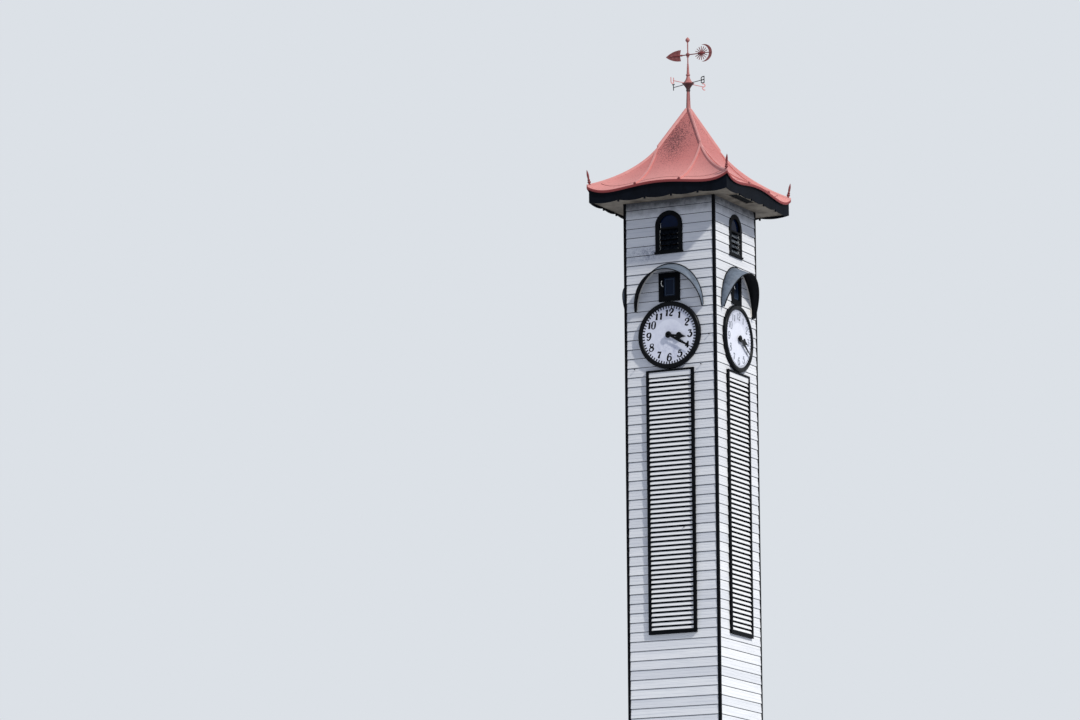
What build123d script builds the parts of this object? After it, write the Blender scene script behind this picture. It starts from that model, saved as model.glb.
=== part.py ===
# Timber clock tower: a square boarded shaft with a louvre panel, a dial, a hood and an
# arched window on each side, under a concave sheet roof with upturned corners and a vane.
# Millimetres, +Z up, origin at the middle of the foot. The front faces -Y, the right side +X.
import os
from math import cos, radians, sin, sqrt

from build123d import *

os.makedirs("parts", exist_ok=True)

# Shaft
tower_side = 2070
corner_board_width = 58
corner_board_thick = 18
wall_thick = 110
slab_thick = 100
kerb_height = 100
kerb_thick = 190
plinth_proud = 30

# Louvre panel
louvre_bottom = 3000
louvre_height = 5450
louvre_width = 1070
louvre_stile = 62
louvre_top_rail = 42
louvre_bottom_rail = 80
louvre_frame_depth = 150
louvre_proud = 62
louvre_head = 105
louvre_head_gap = 15
slat_count = 54
slat_width = 68
slat_thick = 12
slat_tilt = 25
slat_setback = 12

# Dial
dial_gap = 12
dial_radius = 610
dial_thick = 58
ring_width = 90
ring_thick = 90
hour_pipe_radius = 20
minute_arbor_radius = 12
pin_gap = 0.3

# Hands, at twenty past three
hour_angle = 100
minute_angle = 120
hour_hand_length = 400
minute_hand_length = 560
hand_thick = 6
hour_hand_lift = 28
hand_gap = 10
hour_boss_radius = 62
hour_neck = 16
hour_waist = 22
hour_shoulder = 40
spade_place = 0.6
spade_share = 0.19
spade_waist_back = 70
spade_bulge_back = 20
spade_shoulder_ahead = 45
minute_boss_radius = 52
minute_neck = 18
minute_widest = 30
minute_tip = 8
minute_widest_place = 0.55
cap_height = 14
pipe_inside = 60

# Hatch above the dial
hatch_width = 480
hatch_height = 600
hatch_frame = 105
hatch_gap = 12
hatch_depth = 100
hatch_proud = 34
panel_thick = 20

# Hood
hood_half_width = 760
hood_half_height = 920
hood_above_hatch = 190
hood_rise = 40
hood_thick = 6
hood_projection = 370
hood_drop = 170
hood_foot_projection = 90

# Arched window
window_width = 614
window_gap = 416
window_height = 890
window_frame = 92
window_bottom_rail = 62
window_depth = 95
window_proud = 28
transom_height = 36
transom_drop = 45
sill_ear = 16
sill_height = 34
sill_proud = 50
pane_thick = 6
blade_count = 4
blade_tilt = 32
blade_lap = 12

# Eaves and roof
overhang = 565
soffit_gap = 240
wall_above_soffit = 520
fascia_setback = 35
fascia_thick = 28
fascia_lap = 15
scallop_drop = 38
knob_width = 36
knob_drop = 42
knob_spacing = 600
soffit_thick = 20
vent_length = 920
vent_width = 200
vent_middle = -370
vent_inset = 330
roof_thick = 40
cap_side = 1000
slope_fall = 920
cap_slope = 1.87
eave_rise = 300
corner_lift = 30
eave_dip = 105
roll_width = 46
roll_height = 36
cap_thick = 70
cap_roll_height = 74
rafter_width = 60
rafter_depth = 120

# Corner finials
finial_height = 330
finial_lean = 11
finial_base_radius = 24
finial_inset = 50
finial_seat = 20
finial_root = 40

# Mast, compass and vane
mast_top_radius = 34
mast_foot_radius = 50
mast_height = 449
bulb_radius = 129
bulb_rise = 160
bulb_neck = 170
bulb_low_share = 0.55
bulb_low_drop = 60
bulb_high_share = 0.5
bulb_high_rise = 65
collar_radius = 44
collar_height = 26
spindle_foot_radius = 30
spindle_radius = 13
spindle_taper = 250
shoulder_step = 5
shoulder_height = 10
ball_widest_share = 0.38
vane_rise = 200
vane_hub_radius = 42
seat_radius = 26
seat_height = 12
spindle_reach = 265
ball_radius = 45
ball_height = 115
compass_turn = -22
compass_reach = 450
compass_arm_radius = 8
compass_arm_root = 12
letter_height = 150
letter_width = 96
letter_stroke = 20
letter_thick = 6
vane_bar_radius = 11
vane_sheet = 8
arrow_tip = 504
arrow_barb = 158
arrow_half_width = 120
arrow_notch = 24
arrow_curve_place = 0.66
arrow_curve_share = 0.8
bar_share = 0.8
bar_end_margin = 20
sun_middle = 315
sun_ray = 148
sun_ray_count = 16
sun_ray_width = 15
sun_disc_radius = 42
moon_middle = 370
moon_radius = 186
moon_inner_shift = 62
moon_inner_radius = 180

# Clock room floor
floor_thick = 30
joist_width = 70
joist_depth = 120
joist_spacing = 900
trap_side = 600

# Worked out from the values above
half_side = tower_side / 2
wall_face = half_side - corner_board_thick
wall_inner = wall_face - wall_thick
louvre_top = louvre_bottom + louvre_height
ring_radius = dial_radius + ring_width
dial_level = louvre_top + dial_gap + ring_radius
hatch_bottom = dial_level + ring_radius + hatch_gap
hood_level = hatch_bottom + hatch_height + hood_above_hatch - hood_half_height
window_radius = window_width / 2
window_sill_level = hatch_bottom + hatch_height + window_gap
window_spring = window_sill_level + window_height - window_radius
soffit_level = window_sill_level + window_height + soffit_gap
wall_top = soffit_level + wall_above_soffit
plinth_top = slab_thick + kerb_height
eave_half = half_side + overhang
fascia_out = eave_half - fascia_setback
fascia_in = fascia_out - fascia_thick
fascia_bottom = soffit_level - fascia_lap
eave_level = soffit_level + eave_rise
cap_level = eave_level + slope_fall
cap_half = cap_side / 2
cap_top = cap_level + cap_slope * (cap_half - mast_foot_radius)
mast_top = cap_top + mast_height
bulb_level = mast_top + bulb_rise
bulb_top = bulb_level + bulb_neck
spindle_shoulder = bulb_top + spindle_taper
vane_level = spindle_shoulder + vane_rise
spindle_top = vane_level + spindle_reach
ball_tip = spindle_top + ball_height

SIDES = {"front": 0, "right": 90, "back": 180, "left": 270}


def side_plane(angle, out, level=0):
    """A plane on one side of the tower: x to the right, y up, facing outwards."""
    turn = radians(angle)
    normal = (sin(turn), -cos(turn), 0)
    origin = (out * normal[0], out * normal[1], level)
    return Plane(origin=origin, x_dir=(cos(turn), sin(turn), 0), z_dir=normal)


def section_plane(angle):
    """An upright plane through the middle of one side: x outwards, y up."""
    side = side_plane(angle, 0)
    return Plane(origin=(0, 0, 0), x_dir=side.z_dir, z_dir=side.x_dir * -1)


def save(piece, name):
    """Label a finished piece and write it to its own file."""
    piece.part.label = name
    export_step(piece.part, f"parts/{name}.step")


def arch(half_width, bottom, spring):
    """A sketch face with straight jambs and a round head."""
    with BuildSketch() as shape:
        with BuildLine():
            Line((-half_width, spring), (-half_width, bottom))
            Line((-half_width, bottom), (half_width, bottom))
            Line((half_width, bottom), (half_width, spring))
            ThreePointArc((half_width, spring), (0, spring + half_width), (-half_width, spring))
        make_face()
    return shape.sketch


# Foot: a concrete slab, and on it the kerb that the timber walls stand on
plinth_half = half_side + plinth_proud
kerb_inner = plinth_half - kerb_thick
with BuildPart() as foundation_slab:
    with BuildSketch():
        Rectangle(2 * plinth_half, 2 * plinth_half)
    extrude(amount=slab_thick)
save(foundation_slab, "foundation_slab")

with BuildPart() as plinth_kerb:
    with BuildSketch(Plane.XY.offset(slab_thick)):
        Rectangle(2 * plinth_half, 2 * plinth_half)
        Rectangle(2 * kerb_inner, 2 * kerb_inner, mode=Mode.SUBTRACT)
    extrude(amount=kerb_height)
save(plinth_kerb, "plinth_kerb")

# Walls: front and back run over the full width, the sides stand between them
for name, angle in SIDES.items():
    half_width = wall_face if name in ("front", "back") else wall_inner
    with BuildPart() as wall:
        with BuildSketch(side_plane(angle, wall_inner)):
            with Locations((0, (plinth_top + wall_top) / 2)):
                Rectangle(2 * half_width, wall_top - plinth_top)
            with Locations((0, louvre_bottom + louvre_height / 2)):
                Rectangle(louvre_width, louvre_height, mode=Mode.SUBTRACT)
            with Locations((0, dial_level)):
                Circle(hour_pipe_radius + pin_gap, mode=Mode.SUBTRACT)
            with Locations((0, hatch_bottom + hatch_height / 2)):
                Rectangle(hatch_width, hatch_height, mode=Mode.SUBTRACT)
            add(arch(window_radius, window_sill_level, window_spring), mode=Mode.SUBTRACT)
        extrude(amount=wall_thick)
    save(wall, f"wall_{name}")

# Corner boards: two boards that meet at each corner, from the plinth to the soffit
with BuildPart() as corner_boards:
    with BuildSketch(Plane.XY.offset(plinth_top)):
        for corner in range(4):
            with Locations(Rotation(0, 0, 90 * corner)):
                with Locations((half_side - corner_board_width / 2, -half_side + corner_board_thick / 2)):
                    Rectangle(corner_board_width, corner_board_thick)
                with Locations((half_side - corner_board_thick / 2, -half_side + corner_board_width / 2)):
                    Rectangle(corner_board_thick, corner_board_width)
    extrude(amount=soffit_level - plinth_top)
save(corner_boards, "corner_boards")

# Louvre frames: a stile each side, a thin top rail and a deeper bottom rail
slat_room_bottom = louvre_bottom + louvre_bottom_rail
slat_room_top = louvre_top - louvre_top_rail
slat_room_width = louvre_width - 2 * louvre_stile
louvre_front = wall_face + louvre_proud
louvre_back = louvre_front - louvre_frame_depth
with BuildPart() as louvre_frames:
    for angle in SIDES.values():
        with BuildSketch(side_plane(angle, louvre_back)):
            with Locations((0, louvre_bottom + louvre_height / 2)):
                Rectangle(louvre_width, louvre_height)
            with Locations((0, (slat_room_bottom + slat_room_top) / 2)):
                Rectangle(slat_room_width, slat_room_top - slat_room_bottom, mode=Mode.SUBTRACT)
        extrude(amount=louvre_frame_depth)
save(louvre_frames, "louvre_frames")

# Louvre slats: sloping boards housed between the two stiles, under an upright head board
slat_rise = slat_width * cos(radians(slat_tilt)) + slat_thick * sin(radians(slat_tilt))
slat_run = slat_width * sin(radians(slat_tilt)) + slat_thick * cos(radians(slat_tilt))
head_bottom = slat_room_top - louvre_head
slats_top = head_bottom - louvre_head_gap
slat_pitch = (slats_top - slat_room_bottom - slat_rise) / (slat_count - 1)
slats_front = louvre_front - slat_setback
for name, angle in SIDES.items():
    with BuildPart() as slats:
        with BuildSketch(section_plane(angle)):
            with Locations((slats_front - slat_run / 2, (slat_room_bottom + slats_top) / 2)):
                with GridLocations(0, slat_pitch, 1, slat_count):
                    Rectangle(slat_thick, slat_width, rotation=slat_tilt)
            with Locations((slats_front - slat_thick / 2, (head_bottom + slat_room_top) / 2)):
                Rectangle(slat_thick, louvre_head)
        extrude(amount=slat_room_width / 2, both=True)
    save(slats, f"louvre_slats_{name}")

# Dials: a white disc with a hole for the hands, inside a heavy black ring
with BuildPart() as dials:
    for angle in SIDES.values():
        with BuildSketch(side_plane(angle, wall_face)):
            with Locations((0, dial_level)):
                Circle(dial_radius)
                Circle(hour_pipe_radius + pin_gap, mode=Mode.SUBTRACT)
        extrude(amount=dial_thick)
save(dials, "dials")

with BuildPart() as dial_rings:
    for angle in SIDES.values():
        with BuildSketch(side_plane(angle, wall_face)):
            with Locations((0, dial_level)):
                Circle(ring_radius)
                Circle(dial_radius, mode=Mode.SUBTRACT)
        extrude(amount=ring_thick)
save(dial_rings, "dial_rings")

# Hour hands: a spade on a boss and a pipe that runs in the dial's hole
dial_face = wall_face + dial_thick
hour_back = dial_face + hour_hand_lift
minute_back = hour_back + hand_thick + hand_gap
arbor_back = wall_inner - pipe_inside
for name, angle in SIDES.items():
    spade_at = spade_place * hour_hand_length
    waist = (hour_waist, spade_at - spade_waist_back)
    bulge = (spade_share * hour_hand_length, spade_at - spade_bulge_back)
    shoulder = (hour_shoulder, spade_at + spade_shoulder_ahead)
    with BuildPart() as hour_hand:
        with BuildSketch(side_plane(angle, hour_back, dial_level).moved(Rotation(0, 0, -hour_angle))):
            with BuildLine():
                Line((0, 0), (hour_neck, 0))
                Line((hour_neck, 0), waist)
                ThreePointArc(waist, bulge, shoulder)
                Line(shoulder, (0, hour_hand_length))
                mirror(about=Plane.YZ)
            make_face()
            Circle(hour_boss_radius)
            Circle(minute_arbor_radius + pin_gap, mode=Mode.SUBTRACT)
        extrude(amount=hand_thick)
        with BuildSketch(side_plane(angle, arbor_back + pipe_inside / 2, dial_level)):
            Circle(hour_pipe_radius)
            Circle(minute_arbor_radius + pin_gap, mode=Mode.SUBTRACT)
        extrude(amount=hour_back - arbor_back - pipe_inside / 2)
    save(hour_hand, f"hour_hand_{name}")

# Minute hands: a long leaf on the arbor that runs inside the hour pipe
for name, angle in SIDES.items():
    widest_at = minute_widest_place * minute_hand_length
    with BuildPart() as minute_hand:
        with BuildSketch(side_plane(angle, minute_back, dial_level).moved(Rotation(0, 0, -minute_angle))):
            with BuildLine():
                Polyline(
                    (0, 0),
                    (minute_neck, 0),
                    (minute_widest, widest_at),
                    (minute_tip, minute_hand_length),
                    (0, minute_hand_length),
                )
                mirror(about=Plane.YZ)
            make_face()
            Circle(minute_boss_radius)
        extrude(amount=hand_thick)
        with BuildSketch(side_plane(angle, minute_back + hand_thick, dial_level)):
            Circle(hour_pipe_radius)
        extrude(amount=cap_height)
        with BuildSketch(side_plane(angle, arbor_back, dial_level)):
            Circle(minute_arbor_radius)
        extrude(amount=minute_back - arbor_back)
    save(minute_hand, f"minute_hand_{name}")

# Hatches: a deep black frame above each dial with a small panel in it
hatch_front = wall_face + hatch_proud
panel_width = hatch_width - 2 * hatch_frame
panel_height = hatch_height - 2 * hatch_frame
with BuildPart() as hatch_frames:
    for angle in SIDES.values():
        with BuildSketch(side_plane(angle, hatch_front - hatch_depth)):
            with Locations((0, hatch_bottom + hatch_height / 2)):
                Rectangle(hatch_width, hatch_height)
                Rectangle(panel_width, panel_height, mode=Mode.SUBTRACT)
        extrude(amount=hatch_depth)
save(hatch_frames, "hatch_frames")

with BuildPart() as hatch_panels:
    for angle in SIDES.values():
        with BuildSketch(side_plane(angle, hatch_front - hatch_depth / 2)):
            with Locations((0, hatch_bottom + hatch_height / 2)):
                Rectangle(panel_width, panel_height)
        extrude(amount=panel_thick)
save(hatch_panels, "hatch_panels")

# Hoods: a bent sheet over each dial that slopes down outwards and runs out at its feet
hood_pitch = hood_drop / hood_projection
hood_foot = hood_level - hood_rise
hood_apex = hood_level + hood_half_height
with BuildPart() as hoods:
    for angle in SIDES.values():
        slope_dir = side_plane(angle, 0).z_dir - Vector(0, 0, 1) * hood_pitch
        reach = hood_projection + hood_drop
        with BuildPart(mode=Mode.PRIVATE) as hood:
            with BuildSketch(side_plane(angle, wall_face, hood_level)):
                Ellipse(hood_half_width, hood_half_height)
                Ellipse(hood_half_width - hood_thick, hood_half_height - hood_thick, mode=Mode.SUBTRACT)
            extrude(amount=reach, dir=slope_dir)
            # The cut runs from the feet at the wall to the lip at the top
            with BuildSketch(section_plane(angle)):
                with BuildLine():
                    Polyline(
                        (wall_face, hood_foot),
                        (wall_face + hood_foot_projection, hood_foot),
                        (wall_face + hood_projection, hood_apex - hood_drop),
                        (wall_face + hood_projection, hood_apex + hood_half_height),
                        (wall_face, hood_apex + hood_half_height),
                        close=True,
                    )
                make_face()
            extrude(amount=2 * hood_half_width, both=True, mode=Mode.INTERSECT)
        add(hood.part)
save(hoods, "hoods")

# Window frames: an arched casing, a transom under the fixed pane and a sill with ears
window_front = wall_face + window_proud
window_back = window_front - window_depth
pane_half = window_radius - window_frame
transom_top = window_spring - transom_drop
transom_low = transom_top - transom_height
blade_room_bottom = window_sill_level + window_bottom_rail
with BuildPart() as window_frames:
    for angle in SIDES.values():
        with BuildSketch(side_plane(angle, window_back)):
            add(arch(window_radius, window_sill_level, window_spring))
            add(arch(pane_half, blade_room_bottom, window_spring), mode=Mode.SUBTRACT)
            with Locations((0, (transom_low + transom_top) / 2)):
                Rectangle(2 * pane_half, transom_height)
        extrude(amount=window_depth)
        with BuildSketch(side_plane(angle, wall_face)):
            with Locations((0, window_sill_level + sill_height / 2)):
                Rectangle(window_width + 2 * sill_ear, sill_height)
        extrude(amount=sill_proud)
save(window_frames, "window_frames")

# Window panes: the fixed round-headed lights
glass_out = (window_front + window_back) / 2
with BuildPart() as window_panes:
    for angle in SIDES.values():
        with BuildSketch(side_plane(angle, glass_out)):
            add(arch(pane_half, transom_top, window_spring))
        extrude(amount=pane_thick)
save(window_panes, "window_panes")

# Window blades: glass louvres in clips below the transom, all set half open
blade_pitch = (transom_low - blade_room_bottom) / blade_count
blade_width = blade_pitch + blade_lap
with BuildPart() as window_blades:
    for angle in SIDES.values():
        with BuildSketch(section_plane(angle)):
            with Locations((glass_out, (blade_room_bottom + transom_low) / 2)):
                with GridLocations(0, blade_pitch, 1, blade_count):
                    Rectangle(pane_thick, blade_width, rotation=blade_tilt)
        extrude(amount=pane_half, both=True)
save(window_blades, "window_blades")

# Clock room floor: boards on two joists, with a trap
with BuildPart() as clock_room_floor:
    floor_level = louvre_top
    with BuildSketch(Plane.XY.offset(floor_level)):
        Rectangle(2 * wall_inner, 2 * wall_inner)
        with Locations((0, (wall_inner + joist_width) / 8)):
            Rectangle(trap_side, trap_side, mode=Mode.SUBTRACT)
    extrude(amount=floor_thick)
    with BuildSketch(Plane.XY.offset(floor_level - joist_depth)):
        with GridLocations(joist_spacing, 0, 2, 1):
            Rectangle(joist_width, 2 * wall_inner)
    extrude(amount=joist_depth)
save(clock_room_floor, "clock_room_floor")

# Soffit: level boarding round the shaft, with one open vent on the right side
with BuildPart() as soffit:
    with BuildSketch(Plane.XY.offset(soffit_level)):
        Rectangle(2 * fascia_in, 2 * fascia_in)
        Rectangle(2 * wall_face, 2 * wall_face, mode=Mode.SUBTRACT)
        with Locations((wall_face + vent_inset, vent_middle)):
            Rectangle(vent_width, vent_length, mode=Mode.SUBTRACT)
    extrude(amount=soffit_thick)
save(soffit, "soffit")

# Roof form: points along the eave and up the slope shape one smooth sheet per side
EAVE_STEPS = (-1, -2 / 3, -1 / 3, 0, 1 / 3, 2 / 3, 1)
eave_pull = (corner_lift, -3.1 * eave_dip, 1.05 * eave_dip, 0, 1.05 * eave_dip, -3.1 * eave_dip, corner_lift)
SLOPE_STEPS = (0, 0.2, 0.58, 1)
slope_run = eave_half - cap_half
SLOPE_FALLS = (0, 0.415, 0.8, 1)
EAVE_SHARES = (0, 0, 0.55, 1)


def slope_face(lift):
    """The front slope's sheet, raised by lift."""
    rows = []
    for step, fall, share in zip(SLOPE_STEPS, SLOPE_FALLS, EAVE_SHARES):
        out = cap_half + slope_run * step
        level = cap_level - slope_fall * fall + lift
        rows.append([(out * side, -out, level + share * pull) for side, pull in zip(EAVE_STEPS, eave_pull)])
    return Face.make_bezier_surface(rows)


def roof_layer(low, high):
    """A layer of the whole lower roof between two heights above its top surface."""
    with BuildPart() as layer:
        for angle in SIDES.values():
            sheet = slope_face(low).rotate(Axis.Z, angle)
            extrude(to_extrude=sheet, amount=high - low, dir=(0, 0, 1))
    return layer.part


def cap_form(lift):
    """The steep pyramid above the seam, raised by lift."""
    with BuildPart() as form:
        with BuildSketch(Plane.XY.offset(cap_level + lift)):
            Rectangle(cap_side, cap_side)
        with BuildSketch(Plane.XY.offset(cap_top + lift)):
            Rectangle(2 * mast_foot_radius, 2 * mast_foot_radius)
        loft(ruled=True)
    return form.part


def cap_layer(low, high):
    """A layer of the steep pyramid between two heights above its top surface."""
    with BuildPart() as layer:
        add(cap_form(high))
        with BuildSketch(Plane.XY.offset(cap_level + high)):
            Rectangle(cap_side, cap_side)
        extrude(amount=low - high)
        add(cap_form(low), mode=Mode.SUBTRACT)
    return layer.part


# Lower roof slopes: seamed sheet on boards, one on each side, mitred at the hips
for name, angle in SIDES.items():
    with BuildPart() as slope:
        sheet = slope_face(-roof_thick).rotate(Axis.Z, angle)
        extrude(to_extrude=sheet, amount=roof_thick, dir=(0, 0, 1))
    save(slope, f"roof_slope_{name}")

# Roof cap: the steep upper pyramid, hollow, standing on the slopes' top edges
with BuildPart() as roof_cap:
    add(cap_layer(-cap_thick, 0))
save(roof_cap, "roof_cap")

# Plan of the rolled seams: four hips, and two ribs down each slope from the seam
def seam_plan(width, reach, plane):
    """Strips in plan under the hips and the ribs."""
    with BuildSketch(plane) as plan:
        for turn in (45, 135):
            with Locations(Rotation(0, 0, turn)):
                Rectangle(2 * sqrt(2) * reach, width)
        for turn in (0, 90):
            with Locations(Rotation(0, 0, turn)):
                with GridLocations(cap_side, reach + cap_half, 2, 2):
                    Rectangle(width, reach - cap_half)
    return plan.sketch


# Roof rolls: the raised rolls over the hips and ribs
low_plane = Plane.XY.offset(fascia_bottom)
roof_height = cap_top - fascia_bottom + 2 * cap_roll_height
with BuildPart() as roof_rolls:
    add(roof_layer(0, roll_height))
    add(cap_layer(0, cap_roll_height))
    extrude(to_extrude=seam_plan(roll_width, eave_half, low_plane), amount=roof_height, mode=Mode.INTERSECT)
    with BuildSketch(Plane.XY.offset(cap_level)):
        Circle(mast_foot_radius)
    extrude(amount=cap_top - cap_level + 2 * cap_roll_height, mode=Mode.SUBTRACT)
save(roof_rolls, "roof_rolls")

# Rafters: under the hips and ribs, seated on the walls
with BuildPart() as rafters:
    add(roof_layer(-roof_thick - rafter_depth, -roof_thick))
    extrude(to_extrude=seam_plan(rafter_width, fascia_in, low_plane), amount=roof_height, mode=Mode.INTERSECT)
    with BuildSketch(low_plane):
        Rectangle(2 * fascia_in, 2 * fascia_in)
    extrude(amount=roof_height, mode=Mode.INTERSECT)
    with BuildSketch(low_plane):
        Rectangle(2 * wall_face, 2 * wall_face)
        Rectangle(2 * wall_inner, 2 * wall_inner, mode=Mode.SUBTRACT)
    extrude(amount=wall_top - fascia_bottom, mode=Mode.SUBTRACT)
save(rafters, "rafters")

# Fascia boards: wavy tops under the sheet, scalloped bottoms with small pegs, mitred corners
fascia_high = eave_level + 2 * corner_lift + eave_dip
for name, angle in SIDES.items():
    with BuildPart() as fascia:
        with BuildSketch(Plane.XY.offset(fascia_bottom - scallop_drop - knob_drop)):
            with BuildLine():
                Polyline(
                    (-fascia_out, -fascia_out),
                    (fascia_out, -fascia_out),
                    (fascia_in, -fascia_in),
                    (-fascia_in, -fascia_in),
                    close=True,
                )
            make_face()
        extrude(amount=fascia_high - fascia_bottom)
        with BuildSketch(Plane.XZ.offset(fascia_in - fascia_thick)):
            with BuildLine():
                cusps = [-fascia_out] + [knob_spacing * k for k in (-1.5, -0.5, 0.5, 1.5)] + [fascia_out]
                for start, end in zip(cusps, cusps[1:]):
                    lowest = ((start + end) / 2, fascia_bottom - scallop_drop)
                    ThreePointArc((start, fascia_bottom), lowest, (end, fascia_bottom))
                Polyline(
                    (fascia_out, fascia_bottom),
                    (fascia_out, fascia_high),
                    (-fascia_out, fascia_high),
                    (-fascia_out, fascia_bottom),
                )
            make_face()
            for cusp in cusps[1:-1]:
                with Locations((cusp, fascia_bottom)):
                    Rectangle(knob_width, 2 * knob_drop)
        extrude(amount=3 * fascia_thick, mode=Mode.INTERSECT)
        extrude(to_extrude=slope_face(-roof_thick), amount=slope_fall, dir=(0, 0, 1), mode=Mode.SUBTRACT)
    fascia.part = fascia.part.rotate(Axis.Z, angle)
    save(fascia, f"fascia_{name}")

# Corner finials: turned spikes with two beads, leaning out over the corners
# Each arc is given as three (share of the height, share of the base radius) points
FINIAL_ARCS = (
    ((0.14, 0.7), (0.21, 1.5), (0.29, 0.6)),
    ((0.29, 0.6), (0.35, 1.2), (0.41, 0.7)),
    ((0.41, 0.7), (0.55, 0.95), (1, 0.12)),
)


def finial_point(height_share, radius_share):
    """A point of the finial's outline."""
    return radius_share * finial_base_radius, height_share * finial_height


with BuildPart() as corner_finials:
    for turn in (45, 135, 225, 315):
        out = sqrt(2) * (eave_half - finial_inset)
        foot = Plane(
            origin=(out * cos(radians(turn)), out * sin(radians(turn)), eave_level + corner_lift + finial_seat),
            x_dir=(cos(radians(turn)), sin(radians(turn)), 0),
            z_dir=(0, 0, 1),
        ).moved(Rotation(0, finial_lean, 0))
        profile = Plane(foot.origin, x_dir=foot.x_dir, z_dir=foot.y_dir * -1)
        with BuildSketch(profile):
            with BuildLine():
                Polyline((0, -finial_root), (finial_base_radius, -finial_root), finial_point(0.09, 1), finial_point(0.14, 0.7))
                for lower, middle, upper in FINIAL_ARCS:
                    ThreePointArc(finial_point(*lower), finial_point(*middle), finial_point(*upper))
                Polyline(finial_point(1, 0.12), (0, finial_height), (0, -finial_root))
            make_face()
        revolve(axis=Axis(foot.origin, foot.z_dir))
    add(roof_layer(-2 * roof_thick, roll_height), mode=Mode.SUBTRACT)
save(corner_finials, "corner_finials")

# Mast: a tapered tube from the roof's tip, with a collar and the compass bulb on top
with BuildPart() as mast:
    with BuildSketch(Plane.XZ):
        with BuildLine():
            Polyline(
                (0, cap_top),
                (mast_foot_radius, cap_top),
                (mast_top_radius, mast_top),
                (collar_radius, mast_top),
                (collar_radius, mast_top + collar_height),
                (mast_top_radius, mast_top + collar_height),
            )
            neck = (mast_top_radius, mast_top + collar_height)
            widest = (bulb_radius, bulb_level)
            low_side = (bulb_low_share * bulb_radius, bulb_level - bulb_low_drop)
            high_side = (bulb_high_share * bulb_radius, bulb_level + bulb_high_rise)
            Spline(neck, low_side, widest)
            Spline(widest, high_side, (spindle_foot_radius, bulb_top))
            Polyline((spindle_foot_radius, bulb_top), (0, bulb_top), (0, cap_top))
        make_face()
    revolve(axis=Axis.Z)
save(mast, "mast")

# Spindle: the vane's rod, thicker below, with the vane's seat and the ball on top
seat_top = vane_level - vane_hub_radius
with BuildPart() as spindle:
    with BuildSketch(Plane.XZ):
        with BuildLine():
            Polyline(
                (0, bulb_top),
                (collar_radius, bulb_top),
                (collar_radius, bulb_top + collar_height),
                (spindle_foot_radius, bulb_top + collar_height),
                (spindle_radius + shoulder_step, spindle_shoulder),
                (spindle_radius, spindle_shoulder + shoulder_height),
                (spindle_radius, seat_top - seat_height),
                (seat_radius, seat_top - seat_height),
                (seat_radius, seat_top),
                (spindle_radius, seat_top),
                (spindle_radius, spindle_top),
            )
            Spline(
                (spindle_radius, spindle_top),
                (ball_radius, spindle_top + ball_widest_share * (ball_tip - spindle_top)),
                (0, ball_tip),
            )
            Line((0, ball_tip), (0, bulb_top))
        make_face()
    revolve(axis=Axis.Z)
save(spindle, "spindle")


def letter_strokes(letter):
    """Centre lines of one compass initial, about its middle."""
    w = (letter_width - letter_stroke) / 2
    h = (letter_height - letter_stroke) / 2
    if letter == "U":
        Line((-w, h), (-w, -h + w))
        ThreePointArc((-w, -h + w), (0, -h), (w, -h + w))
        Line((w, -h + w), (w, h))
    elif letter == "T":
        Line((-w, h), (w, h))
        Line((0, h), (0, -h))
    elif letter == "B":
        Line((-w, -h), (-w, h))
        for level in (-h, 0, h):
            Line((-w, level), (w / 2, level))
        for middle in (-h / 2, h / 2):
            ThreePointArc((w / 2, middle + h / 2), ((w + h) / 2, middle), (w / 2, middle - h / 2))
    else:
        r = h / 2
        ThreePointArc((w, h - 0.3 * r), (0, h), (-w, h - r))
        ThreePointArc((-w, h - r), (-0.5 * w, 0.3 * r), (0, 0))
        ThreePointArc((0, 0), (0.5 * w, -0.3 * r), (w, -h + r))
        ThreePointArc((w, -h + r), (0, -h), (-w, -h + 0.3 * r))


# Compass arms: four rods from the bulb, each with a sheet initial at its end
COMPASS = {"B": 0, "T": 180, "S": 90, "U": 270}
arm_start = bulb_radius - compass_arm_root
with BuildPart() as compass_arms:
    for letter, heading in COMPASS.items():
        # The open letter is held at its near stroke, the others at their middle
        arm_end = compass_reach - (letter_width / 2 - letter_stroke if letter == "U" else 0)
        turn = radians(heading + compass_turn)
        along = Vector(cos(turn), sin(turn), 0)
        arm = Plane(Vector(0, 0, bulb_level), x_dir=Vector(-sin(turn), cos(turn), 0), z_dir=along)
        with BuildSketch(arm.offset(arm_start)):
            Circle(compass_arm_radius)
        extrude(amount=arm_end - arm_start)
        sheet_plane = Plane(along * compass_reach + Vector(0, 0, bulb_level), x_dir=along * -1,
                            z_dir=Vector(-sin(turn), cos(turn), 0))
        with BuildSketch(sheet_plane.offset(-letter_thick / 2)):
            with BuildLine():
                letter_strokes(letter)
            trace(line_width=letter_stroke)
        extrude(amount=letter_thick)
    add(mast.part, mode=Mode.SUBTRACT)
save(compass_arms, "compass_arms")

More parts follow.
